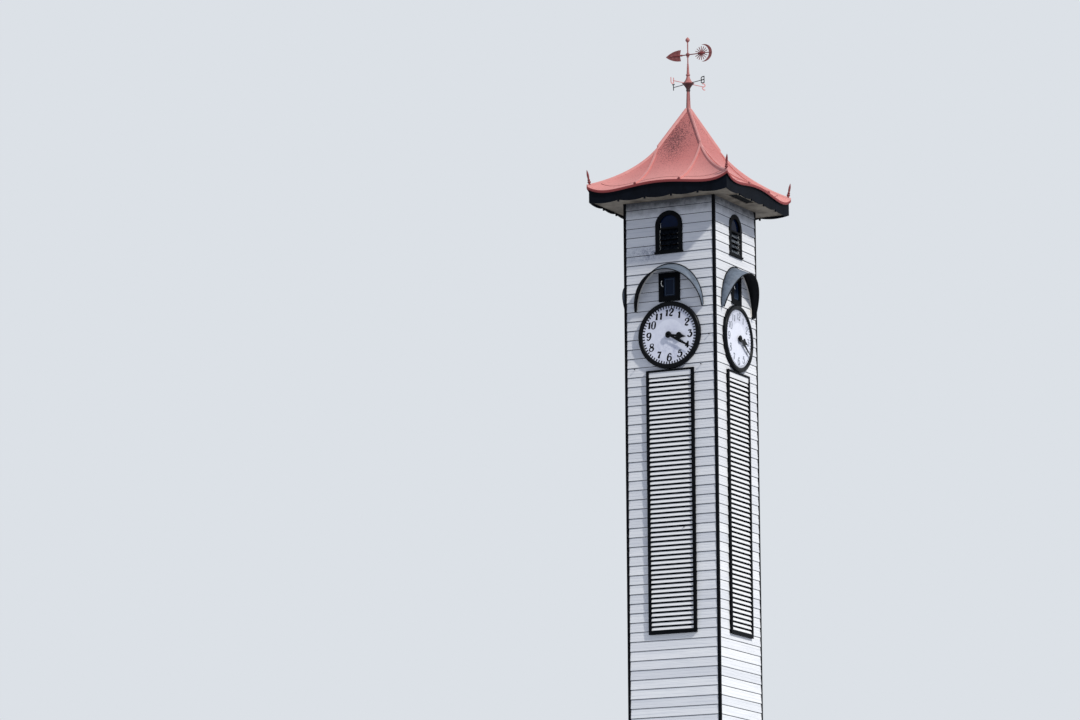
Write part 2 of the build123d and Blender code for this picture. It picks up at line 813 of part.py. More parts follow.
# Vane: arrow, hub, bar, sun and crescent cut from sheet, turning on the spindle
with BuildPart() as vane:
    upright = Plane((0, vane_sheet / 2, vane_level), x_dir=(1, 0, 0), z_dir=(0, -1, 0))
    with BuildSketch(upright):
        with Locations((moon_middle, 0)):
            Circle(moon_radius)
        with Locations((moon_middle - moon_inner_shift, 0)):
            Circle(moon_inner_radius, mode=Mode.SUBTRACT)
        with BuildLine():
            tip = (-arrow_tip, 0)
            top_barb = (-arrow_barb, arrow_half_width)
            low_barb = (-arrow_barb, -arrow_half_width)
            curve_at = -arrow_curve_place * arrow_tip
            curve_half = arrow_curve_share * arrow_half_width
            ThreePointArc(tip, (curve_at, curve_half), top_barb)
            Polyline(top_barb, (-arrow_barb - arrow_notch, 0), low_barb)
            ThreePointArc(low_barb, (curve_at, -curve_half), tip)
        make_face()
        with Locations((sun_middle, 0)):
            Circle(sun_disc_radius)
            with PolarLocations(sun_ray / 2, sun_ray_count):
                Rectangle(sun_ray, sun_ray_width)
    extrude(amount=vane_sheet)
    with BuildSketch(Plane.YZ.offset(-bar_share * arrow_tip)):
        with Locations((0, vane_level)):
            Circle(vane_bar_radius)
    extrude(amount=bar_share * arrow_tip + moon_middle + moon_radius - bar_end_margin)
    with Locations((0, 0, vane_level)):
        Sphere(vane_hub_radius)
        Cylinder(spindle_radius + pin_gap, 4 * vane_hub_radius, mode=Mode.SUBTRACT)
save(vane, "vane")
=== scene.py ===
"""Timber clock tower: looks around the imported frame, in metres, +Z up, front towards -Y."""
from math import cos, pi, radians, sin

import bmesh
import bpy
from mathutils import Matrix, Vector


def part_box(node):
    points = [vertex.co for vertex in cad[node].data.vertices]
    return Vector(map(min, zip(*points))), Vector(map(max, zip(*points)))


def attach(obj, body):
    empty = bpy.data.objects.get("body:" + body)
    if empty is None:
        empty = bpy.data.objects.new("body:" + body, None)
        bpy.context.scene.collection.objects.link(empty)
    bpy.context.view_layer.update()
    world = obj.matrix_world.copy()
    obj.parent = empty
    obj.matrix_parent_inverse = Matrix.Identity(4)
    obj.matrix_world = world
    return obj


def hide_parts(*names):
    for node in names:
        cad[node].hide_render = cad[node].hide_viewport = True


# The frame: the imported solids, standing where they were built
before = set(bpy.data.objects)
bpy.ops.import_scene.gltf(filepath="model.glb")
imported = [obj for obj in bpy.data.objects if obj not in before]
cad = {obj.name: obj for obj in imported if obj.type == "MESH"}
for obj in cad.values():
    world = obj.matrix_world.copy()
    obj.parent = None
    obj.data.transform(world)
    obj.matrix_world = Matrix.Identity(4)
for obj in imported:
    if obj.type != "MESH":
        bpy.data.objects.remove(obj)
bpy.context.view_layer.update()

# Camera: a long lens, far off and below the tower's foot, looking up at it
# and a little round its right-hand corner
IMAGE_WIDTH, FOCAL_PIXELS = 1080, 4912.2
camera_place = Vector((42.0585, -90.6687, -9.78))
camera_yaw, camera_pitch, camera_roll = 0.465696, 0.184225, -0.006651
forward = Vector(
    (-sin(camera_yaw) * cos(camera_pitch), cos(camera_yaw) * cos(camera_pitch), sin(camera_pitch)))
level_right = Vector((cos(camera_yaw), sin(camera_yaw), 0))
level_up = level_right.cross(forward)
camera_right = cos(camera_roll) * level_right + sin(camera_roll) * level_up
camera_up = cos(camera_roll) * level_up - sin(camera_roll) * level_right


def add_object(name, data):
    """An object with the data, in the scene."""
    made = bpy.data.objects.new(name, data)
    bpy.context.scene.collection.objects.link(made)
    return made


lens = bpy.data.cameras.new("camera")
lens.sensor_fit = "HORIZONTAL"
lens.sensor_width = 36
lens.lens = lens.sensor_width * FOCAL_PIXELS / IMAGE_WIDTH
lens.clip_end = 400
camera = add_object("camera", lens)
axes = Matrix((camera_right, camera_up, -forward)).transposed()
camera.matrix_world = Matrix.Translation(camera_place) @ axes.to_4x4()
bpy.context.scene.camera = camera
bpy.context.scene.view_settings.view_transform = "Standard"

# Foot: a cast slab and kerb of plain concrete, float finished, with 8 mm grit
# and the wide weather stains of poured concrete


def paint(code):
    """An sRGB hex colour as linear values."""
    parts = [int(code[i : i + 2], 16) / 255 for i in (0, 2, 4)]
    return [*(c / 12.92 if c <= 0.04045 else ((c + 0.055) / 1.055) ** 2.4 for c in parts), 1]


def add_node(tree, kind, inputs, **settings):
    """One node with its settings; an input is a value or another node's output."""
    made = tree.nodes.new("ShaderNode" + kind)
    for name, value in settings.items():
        setattr(made, name, value)
    for name, value in inputs.items():
        if isinstance(value, bpy.types.NodeSocket):
            tree.links.new(value, made.inputs[name])
        else:
            made.inputs[name].default_value = value
    return made.outputs


def new_finish(name, **constants):
    """A material with its shader's plain values set, its tree, its shader and its Object coordinates."""
    finish = bpy.data.materials.new(name)
    finish.use_nodes = True
    tree = finish.node_tree
    shader = tree.nodes["Principled BSDF"].inputs
    for key, value in constants.items():
        shader[key.replace("_", " ")].default_value = value
    return finish, tree, shader, add_node(tree, "TexCoord", {})["Object"]


def cloudy_finish(name, first, second, scale, detail, ragged=0.5, span=None, **constants):
    """A finish that drifts between two tones in clouds 1/scale metres wide, sharper within a span."""
    finish, tree, shader, place = new_finish(name, **constants)
    cloud = {"Vector": place, "Scale": scale, "Detail": detail, "Roughness": ragged}
    cloud = add_node(tree, "TexNoise", cloud)["Fac"]
    if span:
        cloud = add_node(tree, "MapRange", {"Value": cloud, 1: span[0], 2: span[1], 3: 0, 4: 1})[0]
    tone = add_node(tree, "Mix", {0: cloud, 6: paint(first), 7: paint(second)}, data_type="RGBA")[2]
    tree.links.new(tone, shader["Base Color"])
    return finish, tree, shader, place, cloud, tone


def cover(nodes, finish):
    """Gives carried-over solids their finish."""
    for name in nodes:
        mesh = cad[name].data
        mesh.materials.clear()
        mesh.materials.append(finish)


concrete, tree, shader, place, *_ = cloudy_finish("cast concrete", "8C8A85", "B4B1AA", 3, 6, Roughness=0.9)
grit = add_node(tree, "TexNoise", {"Vector": place, "Scale": 120, "Detail": 3})["Fac"]
tree.links.new(add_node(tree, "Bump", {"Height": grit, "Distance": 0.003})["Normal"], shader["Normal"])
cover(["foundation_slab", "plinth_kerb"], concrete)

# Walls: sheathing on studs behind the boards, sawn softwood with 25 mm grain
# that is seen only from inside the hollow shaft
SIDES = {"front": 0, "right": 90, "back": 180, "left": 270}
SKIN = 0.001
wall_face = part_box("wall_front")[1][0]


def distance_out(tree, place):
    """How far out a point stands from the tower's middle, square to its side."""
    flat = add_node(tree, "VectorMath", {0: place}, operation="ABSOLUTE")[0]
    flat = add_node(tree, "SeparateXYZ", {"Vector": flat})
    return add_node(tree, "Math", {0: flat["X"], 1: flat["Y"]}, operation="MAXIMUM")[0]


bare_timber, tree, shader, place = new_finish("sawn softwood", Roughness=0.8)
stretched = add_node(tree, "Mapping", {"Vector": place, "Scale": (40, 40, 2.5)})["Vector"]
grain = add_node(tree, "TexNoise", {"Vector": stretched, "Scale": 1, "Detail": 5, "Distortion": 0.6})["Fac"]
tone = add_node(tree, "Mix", {0: grain, 6: paint("8A6B4A"), 7: paint("B8956A")}, data_type="RGBA")[2]
# The outer face, seen in the joints of the boards, is drawn near-black as painted shade in the joints
outside = add_node(
    tree, "Math", {0: distance_out(tree, place), 1: wall_face - SKIN}, operation="GREATER_THAN")[0]
tone = add_node(tree, "Mix", {0: outside, 6: tone, 7: paint("14161B")}, data_type="RGBA")[2]
tree.links.new(tone, shader["Base Color"])
tree.links.new(add_node(tree, "Bump", {"Height": grain, "Distance": 0.001})["Normal"], shader["Normal"])
cover([f"wall_{side}" for side in SIDES] + ["rafters", "clock_room_floor"], bare_timber)

# Weatherboards: planed softwood with two shallow grooves in each board, gloss
# painted white, lapped and nailed over the sheathing, and cut round every frame
BOARD_PITCH, FIRST_JOINT = 0.1953, 1.316
BOARD_THICK, LAP_DEEP, EDGE_EASE = 0.018, 0.0145, 0.003
JOINT_GAP, END_GAP, CORNER_GAP = 0.012, 0.002, 0.0015
GROOVE_DEEP, GROOVE_HALF, GROOVE_CLEAR = 0.004, 0.007, 0.02
CORNER_WIDE, LEAST_BOARD = 0.058, 0.01
TOUCH, WELD = 1e-6, 1e-5


def whole(shape):
    """All that a shape has, for the operators that take it all."""
    return shape.verts[:] + shape.edges[:] + shape.faces[:]


def add_box(shape, width, depth, height, middle, rounding=0):
    """A board or bar in the shape, its edges eased where rounding is given; gives its corners."""
    place = Matrix.Translation(middle) @ Matrix.Diagonal((width, depth, height, 1))
    verts = bmesh.ops.create_cube(shape, size=1, matrix=place)["verts"]
    if rounding:
        edges = list({e for v in verts for e in v.link_edges})
        bmesh.ops.bevel(
            shape, geom=edges, offset=rounding, segments=2, profile=0.5, material=-1, affect="EDGES")
    return verts


def mesh_of(shape, name, finishes=()):
    """Ends a shape as a mesh in its finishes."""
    mesh = bpy.data.meshes.new(name)
    shape.to_mesh(mesh)
    shape.free()
    for finish in finishes:
        mesh.materials.append(finish)
    return mesh


def add_piece(shape, name, finishes, body="tower", smooth=False):
    """Makes the shape a piece of the tower that rides on a body."""
    mesh = mesh_of(shape, name, finishes)
    if smooth:
        mesh.shade_smooth()
    made = add_object(name, mesh)
    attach(made, body)
    return made


board_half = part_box("corner_boards")[1][0] - CORNER_WIDE - CORNER_GAP
board_low, board_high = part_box("plinth_kerb")[1][2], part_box("soffit")[0][2]
joint = FIRST_JOINT - BOARD_PITCH * int((FIRST_JOINT - board_low) / BOARD_PITCH + 1)
front_y = -wall_face - BOARD_THICK
boards = bmesh.new()
while joint < board_high:
    low = max(joint + JOINT_GAP / 2, board_low + END_GAP)
    high = min(joint + BOARD_PITCH - JOINT_GAP / 2, board_high - END_GAP)
    if high - low > LEAST_BOARD:
        one = add_box(boards, 2 * board_half, BOARD_THICK, high - low,
                      (0, -wall_face - BOARD_THICK / 2, (low + high) / 2))
        long_edges = [
            e for e in {e for v in one for e in v.link_edges}
            if all(abs(v.co.y - front_y) < TOUCH for v in e.verts)
            and abs(e.verts[0].co.z - e.verts[1].co.z) < TOUCH
        ]
        bmesh.ops.bevel(
            boards, geom=long_edges, offset=EDGE_EASE, segments=1, profile=0.5, material=-1, affect="EDGES")
        for third in (1, 2):
            level = joint + third * BOARD_PITCH / 3
            if low + GROOVE_CLEAR < level < high - GROOVE_CLEAR:
                for step in (-GROOVE_HALF, 0, GROOVE_HALF):
                    near = [g for g in whole(boards)
                            if all(low - SKIN <= v.co.z <= high + SKIN for v in getattr(g, "verts", [g]))]
                    bmesh.ops.bisect_plane(
                        boards, geom=near, plane_co=(0, 0, level + step), plane_no=(0, 0, 1), dist=TOUCH)
                for vert in boards.verts:
                    if abs(vert.co.z - level) < TOUCH and abs(vert.co.y - front_y) < TOUCH:
                        vert.co.y += GROOVE_DEEP
        # Each board thins towards its top, so that the one above stands over it
        for vert in boards.verts:
            if low - TOUCH <= vert.co.z <= high + TOUCH and vert.co.y < -wall_face - SKIN:
                vert.co.y += LAP_DEEP * (vert.co.z - low) / (high - low)
    joint += BOARD_PITCH

# The openings' outlines, as solids that are taken out of the boards
FIT, CUT_DEEP, HEAD_STEPS = 0.001, 0.2, 24
LOUVRE_HALF, RING_RADIUS, HATCH_HALF = 0.535, 0.70, 0.24
WINDOW_HALF, SILL_HALF, SILL_TOP = 0.307, 0.323, 0.034
louvre_low, louvre_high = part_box("louvre_frames")[0][2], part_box("louvre_frames")[1][2]
louvre_middle = (louvre_low + louvre_high) / 2
dial_level = (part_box("dial_rings")[0][2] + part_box("dial_rings")[1][2]) / 2
hatch_low, hatch_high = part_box("hatch_frames")[0][2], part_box("hatch_frames")[1][2]
hatch_middle = (hatch_low + hatch_high) / 2
window_low, window_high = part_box("window_frames")[0][2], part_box("window_frames")[1][2]


def arch_outline(shape, half, low, spring):
    """A flat face with straight jambs and a round head, standing on the front wall."""
    head = bmesh.ops.create_circle(shape, cap_ends=False, segments=2 * HEAD_STEPS, radius=half)["verts"]
    bmesh.ops.rotate(shape, verts=head, cent=(0, 0, 0), matrix=Matrix.Rotation(pi / 2, 3, "X"))
    bmesh.ops.translate(shape, verts=head, vec=(0, -wall_face, spring))
    for vert in head:
        if vert.co.z < spring - WELD:
            vert.co.z = low
            vert.co.x = half if vert.co.x > 0 else -half
    bmesh.ops.remove_doubles(shape, verts=head, dist=WELD)
    return bmesh.ops.contextual_create(shape, geom=[e for e in shape.edges if e.is_wire])["faces"]


def apply_modifiers(made):
    """Puts a piece's modifiers into its mesh."""
    seen = made.evaluated_get(bpy.context.evaluated_depsgraph_get())
    mesh = bpy.data.meshes.new_from_object(seen)
    made.modifiers.clear()
    made.data = mesh


def cut_from(target, cutter):
    """Takes the cutter's solids out of a piece."""
    bmesh.ops.recalc_face_normals(cutter, faces=cutter.faces)
    tool = add_object("cutter", mesh_of(cutter, "cutter"))
    cut = target.modifiers.new("cut", "BOOLEAN")
    cut.operation = "DIFFERENCE"
    cut.solver = "EXACT"
    cut.object = tool
    apply_modifiers(target)
    bpy.data.objects.remove(tool)


# White gloss paint: each board a little different, faint chalking in 22 mm
# streaks along the grain, and grey grime low on the boards by the window
GRIME_MIDDLE, GRIME_SHRINK = (-0.52, -1.03, 10.92), (1.7, 0.8, 4.2)
EAVE_SHADE_FROM, EAVE_SHADE_FULL = 11.86, 12.16


def distance_from(tree, place, middle, shrink):
    """How far a point is from a middle, in units that shrink along each axis."""
    away = add_node(tree, "VectorMath", {0: place, 1: middle}, operation="SUBTRACT")[0]
    away = add_node(tree, "VectorMath", {0: away, 1: shrink}, operation="MULTIPLY")[0]
    return add_node(tree, "VectorMath", {0: away}, operation="LENGTH")["Value"]


white_boards, tree, shader, place = new_finish("white gloss paint on boards", Roughness=0.55)
parts = add_node(tree, "SeparateXYZ", {"Vector": place})
row = add_node(tree, "Math", {0: parts["Z"], 1: FIRST_JOINT}, operation="SUBTRACT")[0]
row = add_node(tree, "Math", {0: row, 1: BOARD_PITCH}, operation="DIVIDE")[0]
row = add_node(tree, "Math", {0: row}, operation="FLOOR")[0]
per_board = add_node(tree, "TexWhiteNoise", {"W": row}, noise_dimensions="1D")["Value"]
along = add_node(tree, "Mapping", {"Vector": place, "Scale": (1.5, 1.5, 45)})["Vector"]
streaks = add_node(tree, "TexNoise", {"Vector": along, "Scale": 1, "Detail": 4})["Fac"]
tone = add_node(tree, "Mix", {0: per_board, 6: paint("DFE0E1"), 7: paint("F1F1EF")}, data_type="RGBA")[2]
chalk = add_node(tree, "MapRange", {"Value": streaks, 1: 0.45, 2: 0.75, 3: 0, 4: 0.5})[0]
tone = add_node(tree, "Mix", {0: chalk, 6: tone, 7: paint("C9CCD2")}, data_type="RGBA")[2]
# Rain-borne dirt: patchy, strongest on the boards left of and under the window
patches = add_node(tree, "TexNoise", {"Vector": place, "Scale": 5, "Detail": 8, "Roughness": 0.75})["Fac"]
specks = add_node(tree, "TexNoise", {"Vector": place, "Scale": 26, "Detail": 6, "Roughness": 0.8})["Fac"]
far = distance_from(tree, place, GRIME_MIDDLE, GRIME_SHRINK)
near_window = add_node(tree, "MapRange", {"Value": far, 1: 0.25, 2: 0.95, 3: 1, 4: 0})[0]
dirt = add_node(tree, "Math", {0: patches, 1: specks}, operation="MULTIPLY")[0]
dirt = add_node(tree, "MapRange", {"Value": dirt, 1: 0.2, 2: 0.34, 3: 0, 4: 1})[0]
grime = add_node(tree, "Math", {0: dirt, 1: near_window}, operation="MULTIPLY")[0]
tone = add_node(tree, "Mix", {0: grime, 6: tone, 7: paint("858B9A")}, data_type="RGBA")[2]
all_over = add_node(tree, "MapRange", {"Value": specks, 1: 0.62, 2: 0.8, 3: 0, 4: 0.35})[0]
tone = add_node(tree, "Mix", {0: all_over, 6: tone, 7: paint("B9BCC4")}, data_type="RGBA")[2]
# Painted shade: the top boards, under the eave, are drawn dark grey, with a ragged lower edge
eave_shade = add_node(tree, "Math", {0: patches, 1: 0.35}, operation="MULTIPLY")[0]
eave_shade = add_node(tree, "Math", {0: parts["Z"], 1: eave_shade}, operation="ADD")[0]
eave_shade = add_node(tree, "MapRange", {"Value": eave_shade, 1: EAVE_SHADE_FROM, 2: EAVE_SHADE_FULL, 3: 0, 4: 0.95})[0]
tone = add_node(tree, "Mix", {0: eave_shade, 6: tone, 7: paint("46474A")}, data_type="RGBA")[2]
tree.links.new(tone, shader["Base Color"])
tree.links.new(add_node(tree, "Bump", {"Height": streaks, "Distance": 0.0006})["Normal"], shader["Normal"])

openings = bmesh.new()
add_box(openings, 2 * (LOUVRE_HALF + FIT), CUT_DEEP, louvre_high - louvre_low + 2 * FIT,
        (0, -wall_face, louvre_middle))
add_box(
    openings, 2 * (SILL_HALF + FIT), CUT_DEEP, SILL_TOP + 2 * FIT, (0, -wall_face, window_low + SILL_TOP / 2))
boards_front = add_piece(boards, "weatherboards_front", [white_boards])
cut_from(boards_front, openings)
openings = bmesh.new()
add_box(openings, 2 * (HATCH_HALF + FIT), CUT_DEEP, hatch_high - hatch_low + 2 * FIT,
        (0, -wall_face, hatch_middle))
head = arch_outline(openings, WINDOW_HALF + FIT, window_low - FIT, window_high - WINDOW_HALF)
deep = bmesh.ops.extrude_face_region(openings, geom=head)["geom"]
bmesh.ops.translate(
    openings, verts=[v for v in deep if isinstance(v, bmesh.types.BMVert)], vec=(0, -CUT_DEEP / 2, 0))
bmesh.ops.translate(openings, verts=[v for f in head for v in f.verts], vec=(0, CUT_DEEP / 2, 0))
cut_from(boards_front, openings)
openings = bmesh.new()
round_hole = Matrix.Translation((0, -wall_face, dial_level)) @ Matrix.Rotation(pi / 2, 4, "X")
bmesh.ops.create_cone(openings, cap_ends=True, segments=96, radius1=RING_RADIUS + FIT,
                      radius2=RING_RADIUS + FIT, depth=CUT_DEEP, matrix=round_hole)
cut_from(boards_front, openings)
for side, turn in SIDES.items():
    if side != "front":
        shape = bmesh.new()
        shape.from_mesh(boards_front.data)
        shape.transform(Matrix.Rotation(radians(turn), 4, "Z"))
        add_piece(shape, f"weatherboards_{side}", [white_boards])

# Corner boards, frames and casings: planed softwood in black oil paint, which
# has a low sheen, with 11 mm fibres and a little paler dust
black_trim, tree, shader, place = new_finish(
    "black oil paint on softwood", Roughness=0.55, Specular_IOR_Level=0.06)
dust = add_node(tree, "TexNoise", {"Vector": place, "Scale": 9, "Detail": 7, "Roughness": 0.7})["Fac"]
dust = add_node(tree, "MapRange", {"Value": dust, 1: 0.5, 2: 0.8, 3: 0, 4: 0.6})[0]
tone = add_node(tree, "Mix", {0: dust, 6: paint("04060A"), 7: paint("11151C")}, data_type="RGBA")[2]
tree.links.new(tone, shader["Base Color"])
fibres = add_node(tree, "Mapping", {"Vector": place, "Scale": (90, 90, 4)})["Vector"]
fibres = add_node(tree, "TexNoise", {"Vector": fibres, "Scale": 1, "Detail": 3})["Fac"]
tree.links.new(add_node(tree, "Bump", {"Height": fibres, "Distance": 0.0006})["Normal"], shader["Normal"])
cover(["corner_boards", "louvre_frames", "hatch_frames", "window_frames"], black_trim)

# Louvre slats: white painted boards let steeply into the frame; the inner
# edge of each, under the slat above, is drawn dark as painted shade
SLAT_FRONT, UNSHADED_DEPTH = 1.067, 0.026
white_slats, tree, shader, place = new_finish("white gloss paint on slats", Roughness=0.45)
along = add_node(tree, "Mapping", {"Vector": place, "Scale": (3, 3, 30)})["Vector"]
streaks = add_node(tree, "TexNoise", {"Vector": along, "Scale": 1, "Detail": 5, "Roughness": 0.7})["Fac"]
faint = add_node(tree, "MapRange", {"Value": streaks, 1: 0.5, 2: 0.75, 3: 0, 4: 0.5})[0]
tone = add_node(tree, "Mix", {0: faint, 6: paint("ECECEA"), 7: paint("C9CBCF")}, data_type="RGBA")[2]
painted_slat_shade = add_node(
    tree, "Math", {0: distance_out(tree, place), 1: SLAT_FRONT - UNSHADED_DEPTH}, operation="LESS_THAN")[0]
tone = add_node(tree, "Mix", {0: painted_slat_shade, 6: tone, 7: paint("2A2D33")}, data_type="RGBA")[2]
tree.links.new(tone, shader["Base Color"])
cover([f"louvre_slats_{side}" for side in SIDES], white_slats)

# Louvre screens: black woven fly screen stretched on the back of each frame,
# which keeps birds out and makes the gaps read black; its weave is drawn
# coarser than life, as 6 mm squares, so that it shows at all
SCREEN_WIDE, SCREEN_THICK, SCREEN_IN, SCREEN_SHORT = 1.05, 0.004, 0.08, 0.02
fly_screen, tree, shader, place = new_finish(
    "black woven fly screen", Roughness=0.8, Specular_IOR_Level=0.1)
weave = add_node(
    tree, "TexChecker", {"Vector": place, "Color1": paint("040506"), "Color2": paint("0C0D10"), "Scale": 166})
tree.links.new(weave["Color"], shader["Base Color"])


def add_to_all_sides(shape):
    """Copies the front side's shape to the other three sides."""
    front = whole(shape)
    for turn in (90, 180, 270):
        made = bmesh.ops.duplicate(shape, geom=front)["geom"]
        verts = [v for v in made if isinstance(v, bmesh.types.BMVert)]
        bmesh.ops.rotate(shape, verts=verts, cent=(0, 0, 0), matrix=Matrix.Rotation(radians(turn), 3, "Z"))


screens = bmesh.new()
add_box(screens, SCREEN_WIDE, SCREEN_THICK, louvre_high - louvre_low - SCREEN_SHORT,
        (0, -wall_face + SCREEN_IN, louvre_middle))
add_to_all_sides(screens)
add_piece(screens, "louvre_screens", [fly_screen])

# Dials: white vitreous enamel on steel, glassy smooth, with pale violet-grey
# stains where rain has run below the hands
DISC_RADIUS, DISC_EDGE, STAIN_DROP, STAIN_SHRINK = 0.33, 0.01, 0.2, (2.2, 0, 1.9)
dial_white, tree, shader, place = new_finish("white vitreous enamel", Roughness=0.3)
cloud = add_node(tree, "TexNoise", {"Vector": place, "Scale": 7, "Detail": 8, "Roughness": 0.7})["Fac"]
far = distance_from(tree, place, (0, 0, dial_level - STAIN_DROP), STAIN_SHRINK)
mask = add_node(tree, "MapRange", {"Value": far, 1: 0.1, 2: 0.9, 3: 0.9, 4: 0.2})[0]
cloud = add_node(tree, "MapRange", {"Value": cloud, 1: 0.42, 2: 0.68, 3: 0, 4: 1})[0]
stain = add_node(tree, "Math", {0: cloud, 1: mask}, operation="MULTIPLY")[0]
tone = add_node(tree, "Mix", {0: stain, 6: paint("ECEEF6"), 7: paint("B4B6CC")}, data_type="RGBA")[2]
# Painted shade: beyond the plain middle disc, the upper part of the enamel is drawn greyer, as shade from the
# hood
middle = add_node(tree, "VectorMath", {0: place, 1: (0, 0, dial_level)}, operation="SUBTRACT")[0]
flat = add_node(tree, "VectorMath", {0: middle}, operation="ABSOLUTE")[0]
flat = add_node(tree, "SeparateXYZ", {"Vector": flat})
across = add_node(tree, "Math", {0: flat["X"], 1: flat["Y"]}, operation="MINIMUM")[0]
out = add_node(tree, "CombineXYZ", {"X": across, "Y": flat["Z"]})[0]
out = add_node(tree, "VectorMath", {0: out}, operation="LENGTH")["Value"]
out = add_node(
    tree, "MapRange", {"Value": out, 1: DISC_RADIUS - DISC_EDGE, 2: DISC_RADIUS + DISC_EDGE, 3: 0, 4: 1})[0]
above = add_node(tree, "SeparateXYZ", {"Vector": middle})["Z"]
above = add_node(tree, "MapRange", {"Value": above, 1: 0.1, 2: 0.4, 3: 0, 4: 0.4})[0]
painted_hood_shade = add_node(tree, "Math", {0: out, 1: above}, operation="MULTIPLY")[0]
tone = add_node(tree, "Mix", {0: painted_hood_shade, 6: tone, 7: paint("A3A5B8")}, data_type="RGBA")[2]
tree.links.new(tone, shader["Base Color"])
cover(["dials"], dial_white)

# Dial rims: a rounded ring of pressed steel round each dial, black stoving
# enamel, which catches a soft highlight along its crown
RIM_INNER, RIM_ROUND = 0.602, 0.036
black_metal, tree, shader, place = new_finish(
    "black stoving enamel on steel", Roughness=0.35, Specular_IOR_Level=0.1)
wear = add_node(tree, "TexNoise", {"Vector": place, "Scale": 14, "Detail": 6})["Fac"]
wear = add_node(tree, "MapRange", {"Value": wear, 1: 0.4, 2: 0.8, 3: 0.3, 4: 0.55})[0]
tone = add_node(tree, "Mix", {0: wear, 6: paint("030508"), 7: paint("0A0D12")}, data_type="RGBA")[2]
tree.links.new(tone, shader["Base Color"])
tree.links.new(wear, shader["Roughness"])


def spin_round_dial(shape, steps):
    """Turns a profile round the front dial's middle into a closed ring or cap."""
    bmesh.ops.spin(shape, geom=shape.verts[:] + shape.edges[:], cent=(0, 0, dial_level), axis=(0, 1, 0),
                   angle=2 * pi, steps=steps, use_merge=True)
    bmesh.ops.remove_doubles(shape, verts=shape.verts, dist=WELD)
    bmesh.ops.recalc_face_normals(shape, faces=shape.faces)


ring_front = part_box("dial_rings")[1][0]
corners = [
    (RIM_INNER, wall_face), (RING_RADIUS, wall_face), (RING_RADIUS, ring_front), (RIM_INNER, ring_front)]
rims = bmesh.new()
profile = [rims.verts.new((x, -out, dial_level)) for x, out in corners]
for a, b in zip(profile, profile[1:] + profile[:1]):
    rims.edges.new((a, b))
bmesh.ops.bevel(
    rims, geom=profile[2:], offset=RIM_ROUND, segments=6, profile=0.5, material=-1, affect="VERTICES")
spin_round_dial(rims, 96)
add_to_all_sides(rims)
rim_piece = add_piece(rims, "dial_rims", [black_metal], smooth=True)
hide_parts("dial_rings")

# Minute marks and numerals: black vitrified figures fired on the enamel,
# made as thin raised plates so that they also show without the material
MARK_LONG, MARK_WIDE, MARK_THICK, MARK_RADIUS = 0.046, 0.026, 0.002, 0.577
dial_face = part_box("dials")[1][0]
marks = bmesh.new()
for minute in range(60):
    turned = Matrix.Translation((0, 0, dial_level)) @ Matrix.Rotation(radians(6 * minute), 4, "Y")
    sized = Matrix.Diagonal((MARK_WIDE, 2 * MARK_THICK, MARK_LONG, 1))
    place = turned @ Matrix.Translation((0, -dial_face, MARK_RADIUS)) @ sized
    bmesh.ops.create_cube(marks, size=1, matrix=place)
add_to_all_sides(marks)
# Painted light: on the right side, where the lamp falls most, the black of the figures is drawn grey in
# clouds, as glare
figure_black, tree, shader, place = new_finish(
    "black vitrified enamel", Roughness=0.4, Specular_IOR_Level=0.1)
cloud = add_node(tree, "TexNoise", {"Vector": place, "Scale": 12, "Detail": 4})["Fac"]
painted_light_side = add_node(tree, "SeparateXYZ", {"Vector": place})["X"]
painted_light_side = add_node(tree, "MapRange", {"Value": painted_light_side, 1: 0.9, 2: 1.0, 3: 0, 4: 1})[0]
painted_glare = add_node(tree, "MapRange", {"Value": cloud, 1: 0.3, 2: 0.6, 3: 0.4, 4: 1})[0]
painted_glare = add_node(tree, "Math", {0: painted_glare, 1: painted_light_side}, operation="MULTIPLY")[0]
tone = add_node(tree, "Mix", {0: painted_glare, 6: paint("06080C"), 7: paint("A6ABB3")}, data_type="RGBA")[2]
tree.links.new(tone, shader["Base Color"])
add_piece(marks, "minute_marks", [figure_black])

